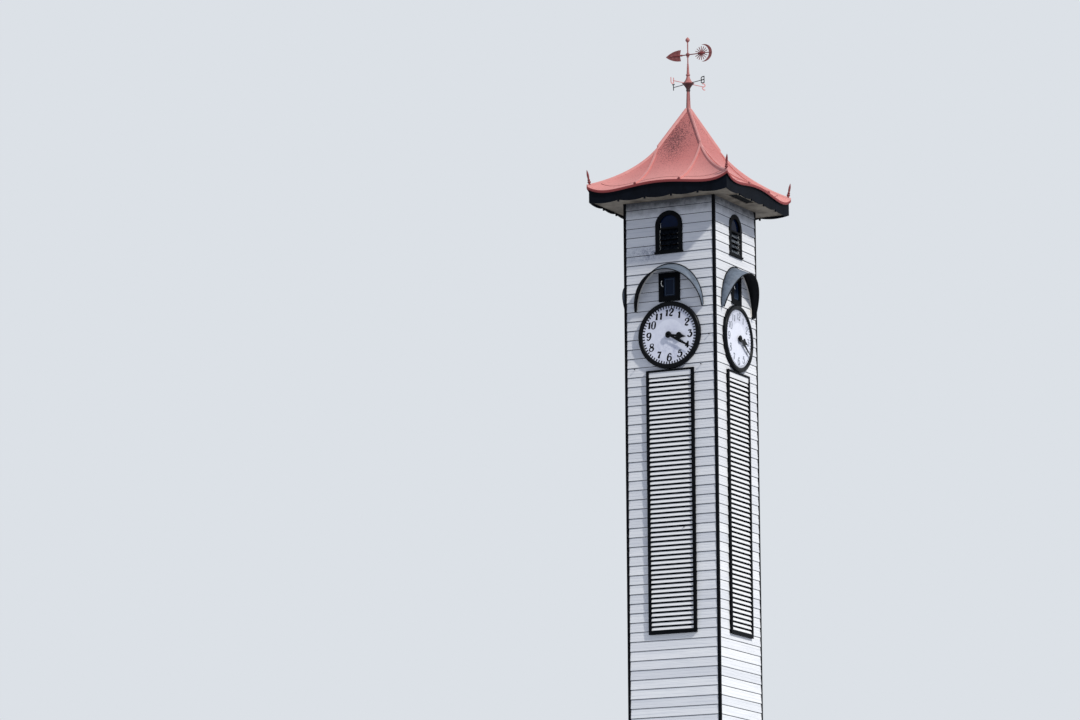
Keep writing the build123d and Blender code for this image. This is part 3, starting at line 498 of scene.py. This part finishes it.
# The figures are drawn with a broad pen: each stroke is a row of points, given
# across and up in hundredths of a figure's height, with the pen's half width
NUMERAL_RADIUS, NUMERAL_TALL = 0.463, 0.135
PEN, PEN_WIDEST, LEAN = 1.5, 0.12, 0.13
FIGURE_WIDE, FIGURE_STEP = 0.64, 0.73
FIGURES = {
    "0": [[(4, 50, 11), (6, 95, 7), (32, 110, 4), (58, 95, 7), (60, 50, 11), (58, 5, 7), (32, -10, 4),
           (6, 5, 7)]],
    "1": [[(12, 80, 6), (26, 86, 5), (36, 100, 6)], [(36, 99, 10), (36, 50, 10), (36, 1, 12)]],
    "2": [[(12, 70, 10), (0, 94, 6), (30, 112, 5), (66, 96, 10), (54, 60, 11), (20, 40, 6), (6, 10, 5)],
          [(5, 5, 6), (24, 13, 9), (42, -1, 10), (62, 12, 6)]],
    "3": [[(8, 86, 7), (12, 97, 7), (36, 93, 8), (58, 99, 5)], [(57, 98, 5), (44, 76, 5), (28, 58, 5)],
          [(28, 58, 5), (62, 62, 9), (70, 22, 12), (46, -10, 7), (10, -4, 6), (8, 20, 10)]],
    "4": [[(44, 100, 5), (22, 66, 6), (3, 34, 5)], [(3, 33, 6), (32, 31, 6), (64, 33, 6)],
          [(44, 100, 9), (44, 50, 10), (44, 0, 11)]],
    "5": [[(14, 95, 7), (34, 92, 9), (58, 100, 5)], [(14, 96, 5), (12, 76, 5), (10, 54, 5)],
          [(10, 54, 5), (36, 72, 6), (70, 54, 12), (64, 8, 10), (34, -10, 5), (4, -2, 7), (8, 20, 10)]],
    "6": [[(54, 84, 8), (50, 104, 6), (18, 104, 6), (0, 52, 11), (6, -2, 8), (34, -10, 5), (66, 6, 10),
           (62, 46, 9), (36, 66, 5), (14, 46, 5)]],
    "7": [[(5, 82, 6), (10, 100, 8), (34, 86, 9), (60, 98, 5)],
          [(60, 98, 5), (44, 62, 7), (30, 34, 11), (32, 2, 12)]],
    "8": [[(32, 56, 9), (4, 70, 8), (8, 102, 6), (32, 108, 4), (56, 102, 6), (58, 70, 5)],
          [(32, 56, 8), (66, 40, 11), (60, 2, 7), (32, -10, 4), (2, 2, 8), (0, 38, 6)]],
    "9": [[(10, 16, 8), (14, -4, 6), (46, -4, 6), (64, 48, 11), (58, 102, 8), (30, 110, 5), (-2, 94, 10),
           (2, 54, 9), (28, 34, 5), (50, 54, 5)]],
}
CLOSED_FIGURES = "08"


def bar_along(points, kind, half, corners, closed=False):
    """A bar through points, each with its share of the bar's half thickness, as a mesh."""
    line = bpy.data.curves.new("bar", "CURVE")
    line.dimensions = "3D"
    run = line.splines.new(kind)
    run.points.add(len(points) - 1)
    for point, (x, y, z, share) in zip(run.points, points):
        point.co = (x, y, z, 1)
        point.radius = share
    run.order_u = 3
    run.use_endpoint_u = not closed
    run.use_cyclic_u = closed
    run.resolution_u = 5
    line.bevel_depth = half
    line.bevel_resolution = corners
    line.use_fill_caps = True
    bar = add_object("bar", line)
    mesh = bpy.data.meshes.new_from_object(bar.evaluated_get(bpy.context.evaluated_depsgraph_get()))
    bpy.data.objects.remove(bar)
    return mesh


numerals = bmesh.new()
flattened = Matrix.Diagonal((NUMERAL_TALL, NUMERAL_TALL, MARK_THICK / PEN_WIDEST, 1))
for hour in range(1, 13):
    figure = str(hour)
    wide = FIGURE_STEP * (len(figure) - 1) + FIGURE_WIDE + LEAN
    angle = radians(30 * hour)
    spot = Vector((NUMERAL_RADIUS * sin(angle), -dial_face, dial_level + NUMERAL_RADIUS * cos(angle)))
    for n, digit in enumerate(figure):
        centred = Matrix.Translation((FIGURE_STEP * n - wide / 2, -0.5, 0))
        for stroke in FIGURES[digit]:
            points = [((x + LEAN * y) / 100, y / 100, 0, PEN * half / 100) for x, y, half in stroke]
            mesh = bar_along(points, "NURBS", 1, 1, digit in CLOSED_FIGURES)
            mesh.transform(Matrix.Translation(spot) @ Matrix.Rotation(pi / 2, 4, "X") @ flattened @ centred)
            numerals.from_mesh(mesh)
add_to_all_sides(numerals)
add_piece(numerals, "numerals", [figure_black])

# Hands: sheet steel hands in black, with a turned cap over each pair's hub
# that turns with the minute hand; its profile runs from the front to the back
CAP_STEPS = [(0, 0), (0.02, 0), (0.03, 0.004), (0.063, 0.008), (0.07, 0.016), (0, 0.016)]
cover([f"{kind}_hand_{side}" for kind in ("hour", "minute") for side in SIDES], black_metal)
hand_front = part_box("minute_hand_right")[1][0]
for side, turn in SIDES.items():
    caps = bmesh.new()
    profile = [caps.verts.new((x, back - hand_front, dial_level)) for x, back in CAP_STEPS]
    for a, b in zip(profile, profile[1:]):
        caps.edges.new((a, b))
    spin_round_dial(caps, 32)
    bmesh.ops.rotate(caps, verts=caps.verts, cent=(0, 0, 0), matrix=Matrix.Rotation(radians(turn), 3, "Z"))
    add_piece(caps, f"hub_cap_{side}", [black_metal], body=f"minute_hand_{side}", smooth=True)

# Hatches: a flush plywood panel in dark blue gloss, with a thin bead planted on
# it in a slate blue that shows as a paler line
PANEL_HALF_WIDE, PANEL_HALF_TALL = 0.135, 0.195
BEAD_INSET, BEAD_WIDE, BEAD_THICK, TRIM_EASE = 0.032, 0.012, 0.008, 0.002
hatch_blue = cloudy_finish(
    "dark blue gloss paint on plywood", "051326", "0C1F37", 12, 5, Roughness=0.3, Specular_IOR_Level=0.1)[0]
cover(["hatch_panels"], hatch_blue)
panel_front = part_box("hatch_panels")[1][0]
bead_across, bead_up = PANEL_HALF_WIDE - BEAD_INSET, PANEL_HALF_TALL - BEAD_INSET
bead_y = -panel_front - BEAD_THICK / 2
beads = bmesh.new()
for sign in (-1, 1):
    add_box(
        beads, 2 * bead_across, BEAD_THICK, BEAD_WIDE, (0, bead_y, hatch_middle + sign * bead_up), TRIM_EASE)
    add_box(beads, BEAD_WIDE, BEAD_THICK, 2 * bead_up - BEAD_WIDE,
            (sign * (bead_across - BEAD_WIDE / 2), bead_y, hatch_middle), TRIM_EASE)
add_to_all_sides(beads)
bead_paint = cloudy_finish(
    "slate blue gloss paint", "25354A", "33475F", 20, 4, Roughness=0.35, Specular_IOR_Level=0.3)[0]
add_piece(beads, "hatch_beads", [bead_paint])

# Hatch latches: a bent bar of zinc-plated steel at each hatch's left edge,
# bright with 8 mm spangle
LATCH_STEPS = [(-0.150, 0.085), (-0.168, 0.05), (-0.172, 0.01), (-0.155, -0.03), (-0.128, -0.045)]
LATCH_OUT, LATCH_UP, LATCH_RADIUS, LATCH_OVERLAP = 0.045, 0.06, 0.009, 0.006
zinc, tree, shader, place = new_finish("zinc plated steel", Metallic=0.85, Roughness=0.35)
spangle = add_node(tree, "TexVoronoi", {"Vector": place, "Scale": 120})["Distance"]
tone = add_node(tree, "Mix", {0: spangle, 6: paint("F4F4F0"), 7: paint("C9CBCC")}, data_type="RGBA")[2]
tree.links.new(tone, shader["Base Color"])
latches = bmesh.new()
bends = [Vector((x, -panel_front - LATCH_OUT, hatch_middle + LATCH_UP + z)) for x, z in LATCH_STEPS]
for start, end in zip(bends, bends[1:]):
    turn = (end - start).to_track_quat("Z", "X").to_matrix().to_4x4()
    bmesh.ops.create_cone(latches, cap_ends=True, segments=10, radius1=LATCH_RADIUS, radius2=LATCH_RADIUS,
                          depth=(end - start).length + LATCH_OVERLAP,
                          matrix=Matrix.Translation((start + end) / 2) @ turn)
add_to_all_sides(latches)
add_piece(latches, "hatch_latches", [zinc], smooth=True)

# Hoods: galvanised sheet bent to an oval over each dial, in slate-grey paint
# that has weathered in clouds outside; inside, the sheet is drawn matt black as painted shade
HOOD_HALF_WIDE, HOOD_HALF_TALL, HOOD_THICK, HOOD_TUBE = 0.76, 0.92, 0.006, 1.5
HOOD_OUT, HOOD_FALL, HOOD_FOOT_OUT = 0.37, 0.17, 0.09
hood_foot, hood_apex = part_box("hoods")[0][2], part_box("hoods")[1][2]
hood_level = hood_apex - HOOD_HALF_TALL
lip_rise, lip_run = hood_apex - HOOD_FALL - hood_foot, HOOD_OUT - HOOD_FOOT_OUT
slate_paint = cloudy_finish("slate grey paint on sheet", "4F5965", "77828F", 6, 7, 0.7, (0.35, 0.7),
                            Roughness=0.6, Specular_IOR_Level=0.3)[0]
black_lips_and_hood_shade = cloudy_finish(
    "black paint, painted shade inside hoods", "08090B", "14161A", 11, 5, Roughness=0.75, Specular_IOR_Level=0.15)[0]


def hood_sheet(inset):
    """The front hood's sheet without thickness, cut from a leaning oval tube."""
    sheet = bmesh.new()
    oval = Matrix.Diagonal((HOOD_HALF_WIDE - inset, HOOD_HALF_TALL - inset, 1, 1))
    place = Matrix.Translation((0, -wall_face, hood_level)) @ Matrix.Rotation(pi / 2, 4, "X")
    bmesh.ops.create_cone(
        sheet, cap_ends=False, segments=128, radius1=1, radius2=1, depth=HOOD_TUBE, matrix=place @ oval)
    for vert in sheet.verts:
        vert.co.z += (vert.co.y + wall_face) * HOOD_FALL / HOOD_OUT
    cuts = [((0, -wall_face, 0), (0, 1, 0)), ((0, -wall_face, hood_foot), (0, 0, -1)),
            ((0, -wall_face - HOOD_FOOT_OUT, hood_foot), Vector((0, -lip_rise, -lip_run)))]
    for point, normal in cuts:
        bmesh.ops.bisect_plane(
            sheet, geom=whole(sheet), plane_co=point, plane_no=normal, clear_outer=True, dist=TOUCH)
    return sheet


hoods = hood_sheet(0)
bmesh.ops.recalc_face_normals(hoods, faces=hoods.faces)
if sum(f.normal.x * f.calc_center_median().x for f in hoods.faces) < 0:
    bmesh.ops.reverse_faces(hoods, faces=hoods.faces)
add_to_all_sides(hoods)
hood_piece = add_piece(hoods, "hood_sheets", [slate_paint, black_lips_and_hood_shade], smooth=True)
wall = hood_piece.modifiers.new("sheet", "SOLIDIFY")
wall.thickness = HOOD_THICK
wall.offset = -1
wall.material_offset = 1
wall.material_offset_rim = 1
apply_modifiers(hood_piece)
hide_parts("hoods")

# Hood lips: a rolled black edge along the front of each hood and a black
# flashing bead where the sheet meets the boards
LIP_RADIUS, FLASHING_RADIUS, FLASHING_LIFT, ON_PLANE = 0.011, 0.011, 0.003, 1e-4


def edge_walk(sheet, keep):
    """The points along a sheet's open edge where keep holds, from one end to the other."""
    edges = [e for e in sheet.edges if e.is_boundary and all(keep(v.co) for v in e.verts)]
    ends = [v for v in {v for e in edges for v in e.verts} if sum(e in edges for e in v.link_edges) == 1]
    here, walk, left = min(ends, key=lambda v: v.co.x), [], set(edges)
    while here:
        walk.append(here.co.copy())
        step = next((e for e in here.link_edges if e in left), None)
        left.discard(step)
        here = step.other_vert(here) if step else None
    return walk


def on_lip(co):
    """Whether a point is on the slanting front edge of the hood."""
    return abs(-co.y - wall_face - HOOD_FOOT_OUT - lip_run / lip_rise * (co.z - hood_foot)) < ON_PLANE


sheet = hood_sheet(HOOD_THICK / 2)
lip = edge_walk(sheet, on_lip)
at_wall = edge_walk(sheet, lambda co: abs(co.y + wall_face) < ON_PLANE and co.z > hood_foot + SKIN)
sheet.free()
lips = bmesh.new()
lips.from_mesh(bar_along([(*co, 1) for co in lip], "POLY", LIP_RADIUS, 2))
flashing = [(co.x, front_y, co.z + FLASHING_LIFT, 1) for co in at_wall]
lips.from_mesh(bar_along(flashing, "POLY", FLASHING_RADIUS, 2))
add_to_all_sides(lips)
add_piece(lips, "hood_lips", [black_lips_and_hood_shade], smooth=True)

# Hood battens: a bent softwood strip in cream paint, nailed to the boards
# under each hood, which closes the joint between the sheet and the boards
BATTEN_RADIUS, BATTEN_SHRINK = 0.016, 0.968
cream_paint = cloudy_finish("cream paint on batten", "C9C4BA", "E2DED6", 8, 6, Roughness=0.6)[0]
battens = bmesh.new()
inner = [(co.x * BATTEN_SHRINK, front_y, hood_level + (co.z - hood_level) * BATTEN_SHRINK, 1)
         for co in at_wall]
battens.from_mesh(bar_along(inner, "POLY", BATTEN_RADIUS, 2))
add_to_all_sides(battens)
add_piece(battens, "hood_battens", [cream_paint], smooth=True)

# Windows: dark tinted glass, a fixed round-headed light over four blades, which
# sit in zinc-plated clips and rails along the jambs; one short bar of the same
# stands beside the light
CLIP_COUNT, CLIP_TURN = 4, -32
CLIP_WIDE, CLIP_DEEP, CLIP_LONG = 0.012, 0.014, 0.12
RAIL_WIDE, RAIL_DEEP, RAIL_SPARE, RAIL_IN = 0.006, 0.03, 0.02, 0.03
BAR_LONG, BAR_WIDE, BAR_IN, BAR_LIFT, BAR_EASE = 0.11, 0.008, 0.017, 0.002, 0.001
PANE_HALF = 0.215
glass = cloudy_finish("tinted float glass", "04122A", "0A2144", 5, 4, Roughness=0.05, IOR=1.45,
                      Transmission_Weight=0.1, Specular_IOR_Level=0.03)[0]
cover(["window_panes"], glass)
# The blades are of the same glass, with pale streaks 33 mm wide painted on
# them as reflection: strong on the right side, where the lamp falls, faint elsewhere
glass_with_painted_reflection, tree, shader, place = new_finish(
    "tinted glass with painted reflections", Roughness=0.12, IOR=1.45, Specular_IOR_Level=0.08)
painted_reflection = add_node(tree, "Mapping", {"Vector": place, "Scale": (30, 30, 6)})["Vector"]
painted_reflection = add_node(tree, "TexNoise", {"Vector": painted_reflection, "Scale": 1, "Detail": 4, "Roughness": 0.7})["Fac"]
painted_reflection = add_node(tree, "MapRange", {"Value": painted_reflection, 1: 0.42, 2: 0.62, 3: 0, 4: 0.75})[0]
painted_light_side = add_node(tree, "SeparateXYZ", {"Vector": place})["X"]
painted_light_side = add_node(tree, "MapRange", {"Value": painted_light_side, 1: 0.7, 2: 0.9, 3: 0.08, 4: 1})[0]
painted_reflection = add_node(tree, "Math", {0: painted_reflection, 1: painted_light_side}, operation="MULTIPLY")[0]
tone = add_node(tree, "Mix", {0: painted_reflection, 6: paint("050B14"), 7: paint("8D949A")}, data_type="RGBA")[2]
tree.links.new(tone, shader["Base Color"])
cover(["window_blades"], glass_with_painted_reflection)
blade_low, blade_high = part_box("window_blades")[0][2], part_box("window_blades")[1][2]
rail_y = -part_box("window_blades")[1][0] + RAIL_IN
pane_low, pane_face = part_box("window_panes")[0][2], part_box("window_panes")[1][0]
clips = bmesh.new()
for n in range(CLIP_COUNT):
    level = blade_low + (n + 0.5) * (blade_high - blade_low) / CLIP_COUNT
    for sign in (-1, 1):
        place = Matrix.Translation((sign * (PANE_HALF - CLIP_WIDE / 2), rail_y, level))
        turned = place @ Matrix.Rotation(radians(CLIP_TURN), 4, "X")
        sized = Matrix.Diagonal((CLIP_WIDE, CLIP_DEEP, CLIP_LONG, 1))
        bmesh.ops.create_cube(clips, size=1, matrix=turned @ sized)
for sign in (-1, 1):
    add_box(clips, RAIL_WIDE, RAIL_DEEP, blade_high - blade_low + RAIL_SPARE,
            (sign * (PANE_HALF - RAIL_WIDE / 2), rail_y, (blade_low + blade_high) / 2), BAR_EASE)
add_box(clips, BAR_WIDE, BAR_WIDE, BAR_LONG,
        (-(PANE_HALF - BAR_IN), -pane_face - BAR_WIDE / 2, pane_low + BAR_LONG / 2 + BAR_LIFT), BAR_EASE)
add_to_all_sides(clips)
add_piece(clips, "blade_clips", [zinc])

# Soffit: painted fibre-cement sheet in cream, butt jointed; it is drawn dark and
# brownish, as painted shade and painted bounce light under the eave, varied in
# wide clouds, with trim and a fly screen round and in the one open vent
VENT_LONG, VENT_WIDE, VENT_ALONG, VENT_OFF = 0.92, 0.20, -0.37, 0.33
TRIM_WIDE, TRIM_THICK = 0.022, 0.012
soffit_cream_with_painted_shade = cloudy_finish(
    "cream emulsion on fibre cement, darkened as painted shade", "8F8473", "4A4136", 2.5, 8, 0.65, (0.4, 0.72), Roughness=0.85)[0]
cover(["soffit"], soffit_cream_with_painted_shade)
soffit_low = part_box("soffit")[0][2]
vent_out = wall_face + VENT_OFF
trim_level = soffit_low - TRIM_THICK / 2
trim = bmesh.new()
for sign in (-1, 1):
    add_box(trim, TRIM_WIDE, VENT_LONG + 2 * TRIM_WIDE, TRIM_THICK,
            (vent_out + sign * (VENT_WIDE + TRIM_WIDE) / 2, VENT_ALONG, trim_level), TRIM_EASE)
    add_box(trim, VENT_WIDE, TRIM_WIDE, TRIM_THICK,
            (vent_out, VENT_ALONG + sign * (VENT_LONG + TRIM_WIDE) / 2, trim_level), TRIM_EASE)
add_piece(trim, "vent_trim", [soffit_cream_with_painted_shade])
vent_mesh = bmesh.new()
add_box(vent_mesh, VENT_WIDE - 2 * FIT, VENT_LONG - 2 * FIT, SCREEN_THICK,
        (vent_out, VENT_ALONG, soffit_low + SCREEN_THICK))
add_piece(vent_mesh, "vent_screen", [fly_screen])

# Fascia boards: deep planed boards in black oil paint, faded in clouds to a
# blue-grey where the weather reaches them
fascia_paint = cloudy_finish("weathered black oil paint", "05080E", "10151E", 3.5, 8, 0.7, (0.35, 0.75),
                             Roughness=0.65, Specular_IOR_Level=0.06)[0]
cover([f"fascia_{side}" for side in SIDES], fascia_paint)

# Roof sheet: galvanised steel in salmon-red oxide paint, dulled, paler low down
# as painted sky reflection, with black algae spots where the upper front slope stays damp
SHEEN_NONE, SHEEN_FULL = 12.95, 12.4
ALGAE_MIDDLE, ALGAE_SHRINK = (-0.12, -0.45, 13.45), (1.9, 1.0, 1.15)
CAP_FOOT, CAP_TOP = 13.1, 13.7
roof_red, tree, shader, place, cloud, tone = cloudy_finish(
    "red oxide paint on sheet", "B3645F", "CC817B", 2.2, 6, 0.6, Roughness=0.62)
height = add_node(tree, "SeparateXYZ", {"Vector": place})["Z"]
# Painted reflection: the sheet is drawn paler towards the eave
painted_low_sheen = add_node(tree, "MapRange", {"Value": height, 1: SHEEN_NONE, 2: SHEEN_FULL, 3: 0, 4: 0.55})[0]
tone = add_node(tree, "Mix", {0: painted_low_sheen, 6: tone, 7: paint("DE9C95")}, data_type="RGBA")[2]
fine = add_node(tree, "TexNoise", {"Vector": place, "Scale": 38, "Detail": 4, "Roughness": 0.75})["Fac"]
far = distance_from(tree, place, ALGAE_MIDDLE, ALGAE_SHRINK)
patch = add_node(tree, "MapRange", {"Value": far, 1: 0.2, 2: 1.4, 3: 0.16, 4: -0.08})[0]
cap_patch = add_node(tree, "MapRange", {"Value": height, 1: CAP_FOOT, 2: CAP_TOP, 3: 0, 4: 0.05})[0]
patch = add_node(tree, "Math", {0: patch, 1: cap_patch}, operation="MAXIMUM")[0]
level = add_node(tree, "Math", {0: fine, 1: patch}, operation="ADD")[0]
algae = add_node(tree, "MapRange", {"Value": level, 1: 0.58, 2: 0.70, 3: 0, 4: 0.9})[0]
tone = add_node(tree, "Mix", {0: algae, 6: tone, 7: paint("4E262B")}, data_type="RGBA")[2]
# The turned-down edge of the sheet at the eave is a darker, fresher red
eave_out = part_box("roof_slope_right")[1][0]
edge = add_node(
    tree, "Math", {0: distance_out(tree, place), 1: eave_out - SKIN / 2}, operation="GREATER_THAN")[0]
tone = add_node(tree, "Mix", {0: edge, 6: tone, 7: paint("86302F")}, data_type="RGBA")[2]
tree.links.new(tone, shader["Base Color"])
tree.links.new(add_node(tree, "Bump", {"Height": cloud, "Distance": 0.004})["Normal"], shader["Normal"])
cover([f"roof_slope_{side}" for side in SIDES] + ["roof_cap"], roof_red)

# Rolls: half-round capping folded over the seams of the sheet, of the same
# steel in a fresher, pinker coat
roof_pink = cloudy_finish("pink oxide paint on capping", "C47C76", "DB9E97", 10, 5, Roughness=0.5)[0]
cover(["roof_rolls"], roof_pink)

# Drip edge, eave seam and welt: folded strips of the roof sheet, which show as
# darker red lines along the eave and a little above it, and as a fold under
# the cap; each is given from and to how far out it runs, its lift and its scale
dark_red = cloudy_finish("dark red oxide paint", "641F21", "863534", 8, 5, Roughness=0.6)[0]
STRIPS = {
    "drip_edges": (eave_out - 0.03, eave_out, -0.014, 0.999, dark_red),
    "eave_seams": (1.395, 1.403, 0.005, 0.999, dark_red),
    "cap_welts": (0.5, 0.512, 0.006, 1, roof_red),
}


def slope_strip(near, far, lift, shrink):
    """A strip of the front slope between two distances from the middle, moved up by lift."""
    strip = bmesh.new()
    strip.from_mesh(cad["roof_slope_front"].data)
    bmesh.ops.remove_doubles(strip, verts=strip.verts, dist=WELD)
    for distance, normal in ((near, (0, 1, 0)), (far, (0, -1, 0))):
        made = bmesh.ops.bisect_plane(strip, geom=whole(strip), plane_co=(0, -distance, 0), plane_no=normal,
                                      clear_outer=True, dist=TOUCH)
        cut = [g for g in made["geom_cut"] if isinstance(g, bmesh.types.BMEdge)]
        if cut:
            bmesh.ops.edgeloop_fill(strip, edges=cut)
    bmesh.ops.scale(strip, verts=strip.verts, vec=(shrink, shrink, 1))
    bmesh.ops.translate(strip, verts=strip.verts, vec=(0, 0, lift))
    bmesh.ops.recalc_face_normals(strip, faces=strip.faces)
    return strip


for name, (near, far, lift, shrink, finish) in STRIPS.items():
    strips = slope_strip(near, far, lift, shrink)
    add_to_all_sides(strips)
    add_piece(strips, name, [finish])

# Rib ends: small cast knobs in the dark red, flattened, that close the rolls
# at the eave and hang a little below them
RIB_PLACE, KNOB_RADIUS, KNOB_DEEP, KNOB_OUT, KNOB_DROP = 0.5, 0.034, 0.016, 0.0045, 0.03
PROBE_IN, PROBE_FROM = 0.02, 15
knobs = bmesh.new()
for x in (-RIB_PLACE, RIB_PLACE):
    roll = cad["roof_rolls"].ray_cast(Vector((x, -eave_out + PROBE_IN, PROBE_FROM)), Vector((0, 0, -1)))[1]
    place = Matrix.Translation((x, -eave_out + KNOB_DEEP - KNOB_OUT, roll.z - KNOB_DROP))
    flattened = Matrix.Diagonal((KNOB_RADIUS, KNOB_DEEP, KNOB_RADIUS, 1))
    bmesh.ops.create_uvsphere(knobs, u_segments=16, v_segments=10, radius=1, matrix=place @ flattened)
add_to_all_sides(knobs)
add_piece(knobs, "rib_knobs", [dark_red], smooth=True)

# Spikes, mast, arms and vane: turned and cut steel in the roof's reds. The vane
# is old and brown in clouds, the spikes are dark, the spindle is fresher
vane_paint = cloudy_finish(
    "red oxide paint on steel", "9A5550", "BC7D77", 9, 7, 0.7, (0.35, 0.7), Roughness=0.5)[0]
cover(["spindle"], vane_paint)
old_paint = cloudy_finish(
    "old red oxide paint on sheet", "6E3230", "A4625D", 14, 7, 0.7, (0.35, 0.7), Roughness=0.55)[0]
cover(["vane"], old_paint)
cover(["corner_finials"], dark_red)
# Painted shade: the mast and its bulb are drawn near-black on the side away from the lamp and under the
# bulb's widest part
BULB_LOW, BULB_WIDEST, SOOT_FADE = 14.50, 14.69, 0.02
mast_paint_with_painted_shade, tree, shader, place, cloud, tone = cloudy_finish(
    "red oxide paint with painted shade", "9A5550", "BC7D77", 9, 7, 0.7, Roughness=0.55)
parts = add_node(tree, "SeparateXYZ", {"Vector": place})
ragged = add_node(tree, "Math", {0: cloud, 1: 0.03}, operation="MULTIPLY")[0]
side = add_node(tree, "Math", {0: parts["X"], 1: ragged}, operation="ADD")[0]
side = add_node(tree, "MapRange", {"Value": side, 1: -0.012, 2: 0.006, 3: 0.85, 4: 0})[0]
above = add_node(
    tree, "MapRange", {"Value": parts["Z"], 1: BULB_LOW, 2: BULB_LOW + SOOT_FADE, 3: 0, 4: 1})[0]
below = add_node(
    tree, "MapRange", {"Value": parts["Z"], 1: BULB_WIDEST - SOOT_FADE, 2: BULB_WIDEST, 3: 0.9, 4: 0})[0]
under = add_node(tree, "Math", {0: above, 1: below}, operation="MULTIPLY")[0]
painted_shade = add_node(tree, "Math", {0: side, 1: under}, operation="MAXIMUM")[0]
tone = add_node(tree, "Mix", {0: painted_shade, 6: tone, 7: paint("2B1215")}, data_type="RGBA")[2]
tree.links.new(tone, shader["Base Color"])
cover(["mast"], mast_paint_with_painted_shade)
# Painted shade: one pair of compass arms, with its letters, is drawn near-black, the other red
ARM_TURN, ARM_HALF = radians(22), 0.06
arm_paint, tree, shader, place, _, tone = cloudy_finish(
    "red paint on steel, one pair in painted shade", "C7746F", "DFA09B", 9, 7, 0.7, Roughness=0.5)
across = add_node(
    tree, "VectorMath", {0: place, 1: (sin(ARM_TURN), cos(ARM_TURN), 0)}, operation="DOT_PRODUCT")["Value"]
across = add_node(tree, "Math", {0: across}, operation="ABSOLUTE")[0]
painted_shade_pair = add_node(tree, "Math", {0: across, 1: ARM_HALF}, operation="LESS_THAN")[0]
tone = add_node(tree, "Mix", {0: painted_shade_pair, 6: tone, 7: paint("140A0C")}, data_type="RGBA")[2]
tree.links.new(tone, shader["Base Color"])
cover(["compass_arms"], arm_paint)

# Vane ribs: a tapered bar riveted along the arrowhead and a thicker boss across
# the sun, both on the turning vane; each has its place, length and two radii
VANE_RIBS = [(-0.28, 0.3, 0.008, 0.02), (0.315, 0.15, 0.02, 0.02)]
vane_level = (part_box("vane")[0][2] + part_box("vane")[1][2]) / 2
ribs = bmesh.new()
for x, length, thin, thick in VANE_RIBS:
    place = Matrix.Translation((x, 0, vane_level)) @ Matrix.Rotation(pi / 2, 4, "Y")
    bmesh.ops.create_cone(
        ribs, cap_ends=True, segments=16, radius1=thin, radius2=thick, depth=length, matrix=place)
add_piece(ribs, "vane_ribs", [dark_red], body="vane", smooth=True)

# Wall hooks: small black enamelled cup hooks, a stem and a knob, left screwed
# into the front boards
HOOK_PLACES = [(0.89, 9.106), (0.70, 8.50), (-0.80, 8.508), (0.276, 5.165)]
STEM_LONG, STEM_THIN, STEM_THICK, STEM_OUT = 0.034, 0.006, 0.009, 0.015
HEAD_RADIUS, HEAD_OUT = 0.013, 0.032
hooks = bmesh.new()
for x, level in HOOK_PLACES:
    place = Matrix.Translation((x, front_y - STEM_OUT, level)) @ Matrix.Rotation(pi / 2, 4, "X")
    bmesh.ops.create_cone(hooks, cap_ends=True, segments=12, radius1=STEM_THIN, radius2=STEM_THICK,
                          depth=STEM_LONG, matrix=place)
    bmesh.ops.create_uvsphere(hooks, u_segments=12, v_segments=8, radius=HEAD_RADIUS,
                              matrix=Matrix.Translation((x, front_y - HEAD_OUT, level)))
add_piece(hooks, "wall_hooks", [black_metal], smooth=True)

# Studio: a round pale floor, an even pale surround and one soft lamp from high
# on the right, as the daylight falls in the photograph
FLOOR_RADIUS, FILL_STRENGTH, LAMP_STRENGTH, LAMP_FROM = 11, 0.46, 3.05, (2.7, -1.05, 2.6)
floor_paint = bpy.data.materials.new("pale studio floor")
floor_paint.use_nodes = True
shader = floor_paint.node_tree.nodes["Principled BSDF"].inputs
shader["Base Color"].default_value = paint("DCE1E7")
shader["Roughness"].default_value = 0.9
disc = bmesh.new()
bmesh.ops.create_circle(disc, cap_ends=True, segments=96, radius=FLOOR_RADIUS)
floor = add_object("studio_floor", mesh_of(disc, "studio_floor", [floor_paint]))

world = bpy.data.worlds.new("studio")
world.use_nodes = True
bpy.context.scene.world = world
tree = world.node_tree
tree.nodes.clear()
ray = add_node(tree, "LightPath", {})
seen = add_node(tree, "Math", {0: ray["Is Camera Ray"], 1: ray["Is Glossy Ray"]}, operation="MAXIMUM")[0]
seen = add_node(tree, "Math", {0: seen, 1: ray["Is Transmission Ray"]}, operation="MAXIMUM")[0]
fill = add_node(tree, "Background", {"Color": paint("DCE6FF"), "Strength": FILL_STRENGTH})[0]
surround = add_node(tree, "Background", {"Color": paint("DCE1E7"), "Strength": 1})[0]
mixed = add_node(tree, "MixShader", {0: seen, 1: fill, 2: surround})[0]
add_node(tree, "OutputWorld", {"Surface": mixed})

sun = bpy.data.lights.new("key", "SUN")
sun.energy = LAMP_STRENGTH
sun.angle = radians(3)
sun.color = (1, 0.98, 0.95)
key = add_object("key", sun)
key.rotation_mode = "QUATERNION"
key.rotation_quaternion = Vector(LAMP_FROM).to_track_quat("Z", "Y")
